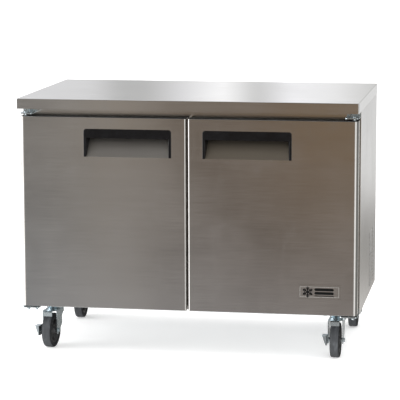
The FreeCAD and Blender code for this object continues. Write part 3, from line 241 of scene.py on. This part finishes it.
def moulded_plastic(name, tint, roughness=0.5, dust=0.3, gloss=0.5):
    """Moulded plastic with a fine pebble, rubbed patches and a trace of dust on top faces."""
    material, s = new_material(name)
    place = s.place()
    up = s.split(s.node("NewGeometry").outputs["Normal"])["Z"]
    rub = s.noise(place, 24.0, detail=4.0, distortion=0.5)
    grain = s.noise(place, 520.0, detail=2.0)
    drift = s.smooth(s.noise(place, 60.0, detail=4.0), 0.45, 0.75)
    settled = s.math("MULTIPLY", s.smooth(up, 0.3, 0.95), drift)
    settled = s.math("MULTIPLY", settled, dust)
    dark = tuple(c * 0.82 for c in tint)
    pale = tuple(min(1.0, c * 1.15) for c in tint)
    colour = s.mix(s.remap(rub, 0.3, 0.7, 0.0, 1.0), dark, pale)
    colour = s.mix(settled, colour, (0.42, 0.40, 0.37))
    rough = s.math("ADD", s.remap(rub, 0.3, 0.7, roughness - 0.08, roughness + 0.08),
                   s.math("MULTIPLY", settled, 0.4))
    s.surface(Base_Color=colour, Roughness=rough, Specular_IOR_Level=gloss,
              Normal=s.bump(grain, 0.35, 0.12 * MM))
    return material


def rubber(name, tint, worn_and_lit):
    """Matte rubber: lightened towards the worn tint, partly scuffing and partly painted light, except on faces
    that look along X, left dark as painted shade.
    """
    material, s = new_material(name)
    place = s.place()
    normal = s.split(s.node("NewGeometry").outputs["Normal"])
    wall = s.smooth(s.math("ABSOLUTE", normal["X"]), 0.5, 0.9)
    scuff = s.noise(s.scaled(place, (70.0, 18.0, 18.0)), 1.0, detail=6.0, distortion=0.7)
    fine = s.noise(place, 700.0, detail=3.0)
    # The tread's grey is partly scuffing and partly painted light; the side walls that look along X keep the dark
    # tint as painted shade.
    grey = s.mix(s.smooth(scuff, 0.40, 0.72), worn_and_lit, tuple(c * 2.0 for c in worn_and_lit))
    colour = s.mix(wall, grey, tint)
    s.surface(Base_Color=colour, Roughness=s.remap(scuff, 0.3, 0.7, 0.55, 0.85), Specular_IOR_Level=0.3,
              Normal=s.bump(fine, 0.4, 0.15 * MM))
    return material


def enamel(name, tint, roughness):
    """Sprayed enamel or powder coat with a faint orange peel and a few scuffs."""
    material, s = new_material(name)
    place = s.place()
    peel = s.noise(place, 260.0, detail=1.0)
    patch = s.noise(place, 11.0, detail=4.0)
    scuff = s.noise(place, 46.0, detail=6.0, distortion=1.0)
    scuffed = s.math("MULTIPLY", s.smooth(scuff, 0.66, 0.74), 0.5)
    colour = s.mix(s.remap(patch, 0.3, 0.7, 0.0, 1.0), tuple(c * 0.93 for c in tint), tint)
    colour = s.mix(scuffed, colour, (0.25, 0.24, 0.23))
    s.surface(Base_Color=colour, Roughness=s.remap(patch, 0.3, 0.7, roughness - 0.05, roughness + 0.08),
              Normal=s.bump(peel, 0.15, 0.08 * MM))
    return material


def insulation(name):
    """Rigid foam: pale yellow, with closed cells and darker skins."""
    material, s = new_material(name)
    place = s.place()
    cell = s.cells(place, 900.0)
    rise = s.noise(place, 9.0, detail=4.0)
    colour = s.mix(s.remap(rise, 0.3, 0.7, 0.0, 1.0), (0.80, 0.70, 0.46), (0.90, 0.83, 0.62))
    s.surface(Base_Color=colour, Roughness=s.remap(rise, 0.3, 0.7, 0.82, 0.95),
              Normal=s.bump(cell, 0.5, 0.4 * MM))
    return material


def copper(name):
    """Drawn copper, browned in patches."""
    material, s = new_material(name)
    place = s.place()
    age = s.noise(place, 26.0, detail=5.0, distortion=0.8)
    colour = s.mix(s.smooth(age, 0.35, 0.7), (0.80, 0.42, 0.26), (0.42, 0.22, 0.14))
    s.surface(Base_Color=colour, Metallic=1.0, Roughness=s.remap(age, 0.3, 0.7, 0.22, 0.46),
              Normal=s.bump(s.noise(place, 300.0), 0.1, 0.05 * MM))
    return material


def finned_aluminium(name):
    """Thin fins with lint caught between them."""
    material, s = new_material(name)
    place = s.place()
    lint = s.smooth(s.noise(place, 34.0, detail=6.0, distortion=0.6), 0.52, 0.75)
    streak = s.noise(s.scaled(place, (60.0, 60.0, 400.0)), 1.0)
    colour = s.mix(s.remap(streak, 0.3, 0.7, 0.0, 1.0), (0.68, 0.69, 0.70), (0.82, 0.83, 0.84))
    colour = s.mix(s.math("MULTIPLY", lint, 0.5), colour, (0.40, 0.38, 0.35))
    s.surface(Base_Color=colour, Metallic=0.9, Roughness=s.remap(lint, 0.0, 1.0, 0.32, 0.7),
              Normal=s.bump(streak, 0.1, 0.05 * MM))
    return material


STEEL = (0.60, 0.585, 0.565)
finishes = {
    # The door steel's flat faces, its top edges among them, are darkened as painted shade.
    "stainless_exterior": brushed_steel("brushed_door_steel", STEEL, 0.15, anisotropy=0.6, flat_face_shade=0.8),
    "stainless_interior": brushed_steel("satin_liner_steel", (0.66, 0.66, 0.65), 0.36, wear=0.6,
                                        anisotropy=0.4),
    "galvanised_steel": galvanised("galvanised_sheet", (0.60, 0.62, 0.63)),
    "rigid_foam": insulation("cabinet_insulation"),
    "black_plastic": moulded_plastic("black_moulding", (0.0025, 0.0025, 0.003), roughness=0.18, dust=0.0,
                                     gloss=0.30),
    "grey_plastic": moulded_plastic("grey_moulding", (0.56, 0.57, 0.56), roughness=0.5),
    "fan_plastic": moulded_plastic("fan_moulding", (0.06, 0.06, 0.065), roughness=0.45, dust=0.5),
    "seal_rubber": rubber("door_seal_vinyl", (0.12, 0.12, 0.125), (0.10, 0.10, 0.105)),
    "zinc_plate": plated_metal("zinc_plating", (0.61, 0.68, 0.71), 0.26),
    # The tyre's tread is lightened partly by scuffing and partly as painted light; its side walls stay dark as
    # painted shade.
    "wheel_rubber": rubber("tyre_rubber", (0.008, 0.008, 0.009), (0.036, 0.038, 0.041)),
    "copper": copper("copper_tube"),
    "coil_fins": finned_aluminium("coil_aluminium"),
    "black_enamel": enamel("black_enamel_paint", (0.02, 0.02, 0.021), roughness=0.3),
    "painted_housing": enamel("white_enamel_paint", (0.80, 0.81, 0.80), roughness=0.32),
    "coated_wire": enamel("shelf_coating", (0.76, 0.77, 0.76), roughness=0.34),
    "badge_metal": brushed_steel("badge_brushed_metal", (0.56, 0.545, 0.525), 0.17, anisotropy=0.6),
}
node_finishes = {
    "worktop": brushed_steel("brushed_worktop_steel", (0.66, 0.655, 0.645), 0.16, anisotropy=0.6),
    "front_frame": brushed_steel("brushed_face_frame", (0.64, 0.63, 0.61), 0.16, anisotropy=0.6),
    # The scoops' steel is darkened as painted shade of the pocket under the grip: a lighter copy on the left door,
    # a darker one on the right.
    "handle_scoop_left": brushed_steel("satin_scoop_shaded_left", (0.215, 0.205, 0.19), 0.55, anisotropy=0.2),
    "handle_scoop_right": brushed_steel("satin_scoop_shaded_right", (0.165, 0.145, 0.118), 0.55, anisotropy=0.2),
}
side_face_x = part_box("side_panel_right")[1].x
# The side panels' slot edges, and all steel set in from the outer face, are darkened as painted shade.
for side in SIDES:
    node_finishes["side_panel_" + side] = brushed_steel(
        "brushed_side_steel_" + side, (0.62, 0.61, 0.60), 0.20, anisotropy=0.5, outer_face=side_face_x)
# The hoods are the side panel's steel; their darker tint is painted shade over the slots.
shaded_hood_finish = brushed_steel("brushed_hood_steel_shaded", (0.38, 0.37, 0.355), 0.26, anisotropy=0.3)
wheel_core_finish = moulded_plastic("wheel_core_moulding", (0.025, 0.025, 0.026), roughness=0.5)
badge_trim = enamel("badge_trim_paint", (0.28, 0.275, 0.26), roughness=0.5)
badge_ink = moulded_plastic("badge_ink", (0.002, 0.002, 0.002), roughness=0.35, dust=0.0, gloss=0.2)
slot_of = {part["node"]: part["material_slot"] for part in frame["record"]["subparts"]}


def paint(thing, material):
    """Give every material slot of an object this material."""
    if not thing.material_slots:
        thing.data.materials.append(material)
    for slot in thing.material_slots:
        slot.material = material


for node_name, node in frame["nodes"].items():
    paint(node, node_finishes.get(node_name, finishes[slot_of[node_name]]))


# -------------------------------------------------------------------- geometry
def finish_mesh(name, mesh, material, body, smooth_angle=35.0):
    """Turn a bmesh into a shown piece that rides on a CAD body."""
    bmesh.ops.recalc_face_normals(mesh, faces=mesh.faces)
    data = bpy.data.meshes.new(name)
    mesh.to_mesh(data)
    mesh.free()
    data.shade_smooth()
    data.set_sharp_from_angle(angle=math.radians(smooth_angle))
    piece = bpy.data.objects.new(name, data)
    bpy.context.scene.collection.objects.link(piece)
    paint(piece, material)
    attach(piece, body)
    return piece


def lathe(mesh, outline, steps, place):
    """Turn a closed (radius, x) outline about the X axis, then move it by a matrix."""
    rings = []
    for step in range(steps):
        angle = 2 * math.pi * step / steps
        ring = [mesh.verts.new(place @ Vector((x, radius * math.cos(angle), radius * math.sin(angle))))
                for radius, x in outline]
        rings.append(ring)
    join_rings(mesh, rings)


def join_rings(mesh, rings):
    """Quads between each closed ring of vertices and the next, and the last and the first."""
    for ring, following in zip(rings, rings[1:] + rings[:1]):
        for place in range(len(ring)):
            after = (place + 1) % len(ring)
            mesh.faces.new((ring[place], ring[after], following[after], following[place]))


def block(mesh, low, high, turn):
    """A box between two corners, moved by a matrix."""
    corners = [Vector((x, y, z))
               for x in (low[0], high[0]) for y in (low[1], high[1]) for z in (low[2], high[2])]
    verts = [mesh.verts.new(turn @ corner) for corner in corners]
    for face in ((0, 1, 3, 2), (4, 6, 7, 5), (0, 4, 5, 1), (2, 3, 7, 6), (0, 2, 6, 4), (1, 5, 7, 3)):
        mesh.faces.new([verts[place] for place in face])


def mirrored_outline(half):
    """An outline in metres from its left half in millimetres, given from the inside out."""
    both = half + [(radius, -x) for radius, x in reversed(half)]
    return [(radius * MM, x * MM) for radius, x in both]


TYRE_OUTLINE = mirrored_outline([
    (46.0, -15.3), (47.5, -16.2), (50.0, -16.5), (52.2, -16.5), (52.8, -15.8), (53.6, -15.8),
    (54.2, -16.45), (58.5, -16.5), (60.1, -16.0), (61.7, -14.9), (62.8, -13.4), (63.35, -11.6),
    (63.5, -9.5), (63.5, -3.0), (63.2, -2.2)])
CORE_OUTLINE = mirrored_outline([
    (4.1, -17.6), (6.5, -18.0), (10.5, -18.0), (11.5, -17.0), (13.0, -9.0), (15.0, -5.5), (36.0, -4.5),
    (39.0, -7.0), (41.0, -13.0), (42.5, -14.4), (45.2, -14.4), (45.95, -14.0)])


def wheel_place(corner):
    """Moves a wheel drawn on the X axis onto its axle."""
    axle = [joint for joint in frame["joints"] if joint["name"] == "axle_" + corner][0]
    turn = Vector((1, 0, 0)).rotation_difference(Vector(axle["axis"]))
    return Matrix.Translation(Vector(axle["pos_m"])) @ turn.to_matrix().to_4x4()


def make_wheel(corner):
    """Rubber tyre with moulded wall lines, and a plastic core with a dished web and ribs."""
    place = wheel_place(corner)
    mesh = bmesh.new()
    lathe(mesh, TYRE_OUTLINE, 96, place)
    tyre = finish_mesh("tyre_" + corner, mesh, finishes["wheel_rubber"], "wheel_" + corner)
    mesh = bmesh.new()
    lathe(mesh, CORE_OUTLINE, 72, place)
    for index in range(6):
        turn = place @ Matrix.Rotation(math.radians(60 * index + 15), 4, "X")
        block(mesh, (-10.5 * MM, -1.4 * MM, 12 * MM), (10.5 * MM, 1.4 * MM, 41 * MM), turn)
    core = finish_mesh("wheel_core_" + corner, mesh, wheel_core_finish, "wheel_" + corner)
    for piece in (tyre, core):
        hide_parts("caster_wheel_" + corner)


for corner in CORNERS:
    make_wheel(corner)


def slab(mesh, outline, y_front, y_back):
    """A flat (x, z) outline given thickness along Y."""
    front = [mesh.verts.new((x, y_front, z)) for x, z in outline]
    back = [mesh.verts.new((x, y_back, z)) for x, z in outline]
    mesh.faces.new(front)
    mesh.faces.new(list(reversed(back)))
    for place in range(len(outline)):
        after = (place + 1) % len(outline)
        mesh.faces.new((front[place], back[place], back[after], front[after]))


def round_bar(start, end, half, steps=6):
    """Outline of a bar with round ends between two (x, z) points."""
    run = math.atan2(end[1] - start[1], end[0] - start[0])
    outline = []
    for centre, first in ((end, -90), (start, 90)):
        for step in range(steps + 1):
            angle = run + math.radians(first + 180 * step / steps)
            outline.append((centre[0] + half * math.cos(angle), centre[1] + half * math.sin(angle)))
    return outline


# The plate's field is set back from its rim; the lines and the mark stand up from the field.
BADGE_FACE = 0.5 * MM
BADGE_FRAME_RISE = 0.35 * MM
BADGE_MARK_RISE = 0.30 * MM


def make_badge_frame():
    """Two thin bright lines raised round the plate."""
    low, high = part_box("badge_plate")
    face = low.y + BADGE_FACE
    raised = face - BADGE_FRAME_RISE
    mesh = bmesh.new()
    for inset, width in ((0.4 * MM, 2.0 * MM), (8.5 * MM, 0.7 * MM)):
        rings = []
        for edge, y in ((inset, face), (inset, raised), (inset + width, raised), (inset + width, face)):
            rings.append([mesh.verts.new((x, y, z)) for x, z in (
                (low.x + edge, low.z + edge), (high.x - edge, low.z + edge),
                (high.x - edge, high.z - edge), (low.x + edge, high.z - edge))])
        join_rings(mesh, rings)
    finish_mesh("badge_frame", mesh, badge_trim, "door_right")


make_badge_frame()


def make_badge_motif():
    """Plain generic mark on the plate: a six-armed snowflake and three bars."""
    low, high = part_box("badge_plate")
    face = low.y + BADGE_FACE
    middle = (low.z + high.z) / 2
    flake = Vector((low.x + 36 * MM, middle))
    mesh = bmesh.new()
    arm = 18 * MM
    for index in range(6):
        angle = math.radians(60 * index + 90)
        ray = Vector((math.cos(angle), math.sin(angle)))
        parts = [(flake, flake + ray * arm, 2.0 * MM)]
        for turn in (-55, 55):
            twig_angle = angle + math.radians(turn)
            twig = Vector((math.cos(twig_angle), math.sin(twig_angle)))
            for reach, length in ((0.45, 0.30), (0.72, 0.26)):
                root = flake + ray * arm * reach
                parts.append((root, root + twig * arm * length, 1.5 * MM))
        for depth, (start, end, half) in enumerate(parts):
            lift = BADGE_MARK_RISE + 0.004 * MM * (index * len(parts) + depth)
            slab(mesh, round_bar(start, end, half), face - lift, face)
    left = low.x + 60 * MM
    right = high.x - 26 * MM
    for rise, half in ((9.0 * MM, 4.8 * MM), (-4.0 * MM, 4.8 * MM), (-13.5 * MM, 1.4 * MM)):
        z = middle + rise
        outline = round_bar((left + half, z), (right - half, z), half)
        slab(mesh, outline, face - BADGE_MARK_RISE, face)
    finish_mesh("badge_motif", mesh, badge_ink, "door_right")


make_badge_motif()


# The slots of the side panels: two columns along Y, each with its rows up Z.
LOUVRE_COLUMNS = (105 * MM, 235 * MM)
LOUVRE_LENGTH = 92 * MM
LOUVRE_PITCH = 13 * MM
LOUVRE_ROWS = 16
LOUVRE_BOTTOM = 192 * MM


def make_louvre_hoods(side):
    """Thin pressed hoods over the slots in a side panel, open below and at their ends."""
    low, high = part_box("side_panel_" + side)
    face, way = (high.x, 1) if side == "right" else (low.x, -1)
    bulge = 0.9 * MM
    sheet = 0.4 * MM
    profile = [(0.0, 7.5 * MM), (0.45, 6.8 * MM), (0.85, 4.6 * MM), (1.0, 1.0 * MM), (1.0, -0.5 * MM)]
    inner_root = (face - way * sheet, 7.0 * MM)
    mesh = bmesh.new()
    for column in LOUVRE_COLUMNS:
        for row in range(LOUVRE_ROWS):
            z = LOUVRE_BOTTOM + row * LOUVRE_PITCH
            outer = [(face + way * out * bulge, z + rise) for out, rise in profile]
            inner = [(x - way * sheet, height) for x, height in reversed(outer[1:])]
            ring = outer + inner + [(inner_root[0], z + inner_root[1])]
            rings = [[mesh.verts.new((x, column + along, height)) for x, height in ring]
                     for along in (0.0, LOUVRE_LENGTH)]
            mesh.faces.new(rings[0])
            mesh.faces.new(list(reversed(rings[1])))
            for place in range(len(ring)):
                after = (place + 1) % len(ring)
                mesh.faces.new((rings[0][place], rings[1][place], rings[1][after], rings[0][after]))
    finish_mesh("louvre_hoods_" + side, mesh, shaded_hood_finish, "cabinet")


def make_gasket(side):
    """Bellows seal with mitred corners, run round the back of a door."""
    low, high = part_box("door_gasket_" + side)
    depth = high.y - low.y
    width = 14 * MM
    profile = [(0.02, 0.00), (0.16, 0.10), (0.05, 0.28), (0.17, 0.44), (0.05, 0.60), (0.10, 0.72),
               (0.06, 0.80), (0.10, 0.96), (0.16, 1.00), (0.84, 1.00), (0.90, 0.96), (0.94, 0.80),
               (0.90, 0.72), (0.95, 0.60), (0.83, 0.44), (0.95, 0.28), (0.84, 0.10), (0.98, 0.00)]
    mesh = bmesh.new()
    corners = ((low.x, low.z, 1, 1), (high.x, low.z, -1, 1),
               (high.x, high.z, -1, -1), (low.x, high.z, 1, -1))
    rings = []
    for x, z, way_x, way_z in corners:
        rings.append([mesh.verts.new((x + way_x * across * width, low.y + reach * depth,
                                      z + way_z * across * width)) for across, reach in profile])
    join_rings(mesh, rings)
    seal = finish_mesh("seal_bellows_" + side, mesh, finishes["seal_rubber"], "door_" + side,
                       smooth_angle=60.0)
    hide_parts("door_gasket_" + side)


for side in SIDES:
    make_gasket(side)
    make_louvre_hoods(side)


# ----------------------------------------------------------- floor and lighting
def make_floor():
    """A wide pale floor that glows a little, so that the shade under the cabinet stays light."""
    half = 40.0
    steps = 8
    mesh = bmesh.new()
    grid = [[mesh.verts.new((half * (2 * column / steps - 1), half * (2 * row / steps - 1), 0.0))
             for column in range(steps + 1)] for row in range(steps + 1)]
    for near, far in zip(grid, grid[1:]):
        for column in range(steps):
            mesh.faces.new((near[column], near[column + 1], far[column + 1], far[column]))
    data = bpy.data.meshes.new("studio_floor")
    mesh.to_mesh(data)
    mesh.free()
    floor = bpy.data.objects.new("studio_floor", data)
    bpy.context.scene.collection.objects.link(floor)
    material, s = new_material("pale_floor")
    tone = s.noise(s.place(), 1.5, detail=2.0)
    s.surface(Base_Color=s.mix(tone, (0.93, 0.93, 0.925), (0.95, 0.95, 0.945)), Roughness=0.9,
              Emission_Color=(1.0, 1.0, 1.0, 1.0), Emission_Strength=0.30)
    paint(floor, material)
    floor.visible_glossy = False


def make_world():
    """A studio laid out in listed stops: what the bright steel mirrors, by bearing and rise in degrees.

    Bearing 0 is straight out from the doors and minus is to the left. The narrow stops give the
    doors, the apron and the worktop their bands for a viewer at the right of the front. From
    elsewhere the same steel changes shade: brown from straight ahead and pale from the left. The
    left wall is four times as bright as white, and burns out the left side panel seen square on.
    Diffuse rays see soft_sky instead, and the camera sees plain white.
    """
    world = bpy.data.worlds.new("studio")
    bpy.context.scene.world = world
    world.use_nodes = True
    s = Shader(world.node_tree)
    x, y, z = s.split(s.node("TexCoord").outputs["Generated"])
    bearing = s.math("DEGREES", s.math("ARCTAN2", x, s.math("MULTIPLY", y, -1.0)))
    rise = s.math("DEGREES", s.math("ARCSINE", z))

    room = s.curve(bearing, -24.0, 12.0, [
        (-24.0, (0.42, 0.42, 0.41)), (-18.0, (0.30, 0.30, 0.29)), (-15.5, (0.20, 0.19, 0.18)),
        (-14.3, (0.17, 0.165, 0.16)), (-13.6, (0.29, 0.275, 0.26)), (-12.9, (0.40, 0.36, 0.31)),
        (-11.7, (0.36, 0.325, 0.285)), (-10.7, (0.135, 0.108, 0.088)), (-9.6, (0.165, 0.130, 0.10)),
        (-8.1, (0.165, 0.13, 0.098)), (-7.0, (0.175, 0.132, 0.092)), (-5.6, (0.175, 0.130, 0.085)),
        (-3.0, (0.19, 0.15, 0.11)), (2.0, (0.24, 0.20, 0.16)), (12.0, (0.40, 0.39, 0.38))])
    ceiling = [(12.0, (0.90, 0.86, 0.82)), (30.0, (0.52, 0.50, 0.48)),
               (58.0, (0.40, 0.38, 0.37)), (70.0, (2.0, 2.0, 2.0))]
    left_rise = s.curve(rise, -12.0, 70.0, [
        (-12.0, (1.00, 1.00, 1.00)), (-8.0, (1.00, 1.00, 1.00)), (-6.4, (1.22, 1.18, 1.14)),
        (0.0, (1.30, 1.24, 1.18))] + ceiling)
    right_rise = s.curve(rise, -12.0, 70.0, [
        (-12.0, (0.84, 0.80, 0.74)), (-9.0, (0.84, 0.80, 0.74)), (-8.2, (0.88, 0.84, 0.76)),
        (-7.3, (2.40, 2.25, 2.10)), (-6.5, (2.40, 2.20, 2.00)), (-5.6, (1.30, 1.20, 1.05)),
        (0.0, (1.25, 1.16, 1.06))] + ceiling)
    floor_glow = s.curve(rise, -30.0, -8.0, [
        (-30.0, (0.50, 0.55, 0.60)), (-16.0, (0.30, 0.34, 0.40)), (-12.5, (0.13, 0.155, 0.19)),
        (-10.5, (0.04, 0.05, 0.065)), (-8.0, (0.0, 0.0, 0.0))])
    room_rise = s.mix(s.smooth(bearing, -9.5, -6.5), left_rise, right_rise)
    room = s.mix(1.0, room, room_rise, blend="MULTIPLY")
    room = s.mix(1.0, room, floor_glow, blend="ADD")

    walls = s.curve(bearing, -180.0, 180.0, [
        (-180.0, (0.30, 0.31, 0.32)), (-112.0, (0.30, 0.31, 0.32)), (-98.0, (1.30, 1.30, 1.30)),
        (-90.0, (4.0, 4.0, 4.1)), (-62.0, (4.0, 4.0, 4.1)), (-54.0, (1.30, 1.30, 1.30)),
        (-38.0, (1.30, 1.30, 1.30)), (-26.0, (0.55, 0.54, 0.52)), (12.0, (0.40, 0.39, 0.38)),
        (17.0, (1.30, 1.30, 1.30)), (50.0, (1.30, 1.30, 1.30)), (62.0, (0.26, 0.26, 0.25)),
        (180.0, (0.26, 0.26, 0.25))])

    back = s.math("DEGREES", s.math("ARCTAN2", x, y))
    streaks = s.curve(back, -18.0, 0.0, [
        (-18.0, (0.86, 0.86, 0.89)), (-15.0, (0.86, 0.86, 0.88)), (-13.0, (0.82, 0.82, 0.83)),
        (-12.2, (0.56, 0.56, 0.56)), (-11.4, (0.58, 0.58, 0.58)), (-10.4, (0.88, 0.88, 0.90)),
        (-9.2, (1.25, 1.25, 1.26)), (-8.2, (0.66, 0.66, 0.66)), (-7.2, (1.12, 1.12, 1.15)),
        (-6.0, (1.02, 1.02, 1.03)), (-4.5, (0.68, 0.68, 0.67)), (0.0, (0.68, 0.68, 0.67))])
    low_back = s.curve(rise, -14.0, 0.0, [
        (-14.0, (0.75, 0.74, 0.73)), (-12.4, (0.80, 0.78, 0.76)), (-11.6, (0.66, 0.64, 0.61)),
        (-11.1, (0.46, 0.44, 0.42)), (-10.5, (0.36, 0.35, 0.33)), (-9.8, (0.32, 0.31, 0.29)),
        (-9.0, (0.45, 0.44, 0.43)), (-8.5, (0.74, 0.73, 0.72)), (-8.0, (0.86, 0.86, 0.85)),
        (-6.0, (0.80, 0.80, 0.80)), (0.0, (0.86, 0.86, 0.86))])
    behind = s.mix(s.smooth(rise, -1.5, 1.0), low_back, streaks)

    seen = s.mix(s.band(bearing, -24.0, -18.0, 8.0, 12.0), walls, room)
    seen = s.mix(s.band(back, -32.0, -24.0, 14.0, 22.0), seen, behind)
    seen = s.mix(s.smooth(rise, 58.0, 75.0), seen, (1.0, 1.0, 1.0))
    path = s.node("LightPath").outputs
    soft_sky = s.curve(z, -1.0, 1.0, [
        (-1.0, (0.4, 0.4, 0.4)), (0.0, (0.35, 0.35, 0.35)),
        (0.5, (1.15, 1.15, 1.15)), (1.0, (1.5, 1.5, 1.5))])
    colour = s.mix(path["Is Diffuse Ray"], seen, soft_sky)
    colour = s.mix(path["Is Camera Ray"], colour, (1.0, 1.0, 1.0))
    s.node("OutputWorld", {"Surface": s.node("Background", {"Color": colour, "Strength": 1.0}).outputs[0]})


def make_light(name, place, target, size, power):
    """A soft panel that lights the floor and matte parts; the bright work mirrors the studio."""
    data = bpy.data.lights.new(name, "AREA")
    data.shape = "RECTANGLE"
    data.size, data.size_y = size
    data.energy = power
    light = bpy.data.objects.new(name, data)
    light.location = place
    light.rotation_euler = (Vector(target) - Vector(place)).to_track_quat("-Z", "Y").to_euler()
    light.visible_glossy = False
    bpy.context.scene.collection.objects.link(light)


def make_camera():
    """Long lens from the right of the front, looking a little down."""
    location = Vector((1.2367, -7.1908, 1.6413))
    yaw, pitch, roll = (math.radians(value) for value in (-9.862, 8.730, -0.156))
    forward = Vector((math.sin(yaw) * math.cos(pitch), math.cos(yaw) * math.cos(pitch), -math.sin(pitch)))
    level_right = Vector((math.cos(yaw), -math.sin(yaw), 0.0))
    level_up = level_right.cross(forward)
    right = level_right * math.cos(roll) + level_up * math.sin(roll)
    up = level_up * math.cos(roll) - level_right * math.sin(roll)
    data = bpy.data.cameras.new("front_camera")
    data.sensor_width = 36.0
    data.lens = 178.25
    camera = bpy.data.objects.new("front_camera", data)
    turn = Matrix((right, up, -forward)).transposed()
    camera.matrix_world = Matrix.Translation(location) @ turn.to_4x4()
    bpy.context.scene.collection.objects.link(camera)
    bpy.context.scene.camera = camera


make_floor()
make_world()
make_light("overhead_softbox", (0.3, -0.6, 3.6), (0.0, 0.0, 0.5), (4.0, 3.0), 60.0)
make_light("right_softbox", (4.5, -2.5, 2.2), (0.0, 0.0, 0.5), (2.5, 2.5), 5.0)
make_light("front_softbox", (0.6, -6.0, 1.6), (0.0, 0.0, 0.2), (4.0, 1.5), 300.0)
make_light("left_softbox", (-4.5, -1.5, 2.0), (0.0, 0.0, 0.4), (2.0, 2.5), 50.0)
make_camera()
bpy.context.scene.view_settings.view_transform = "Standard"
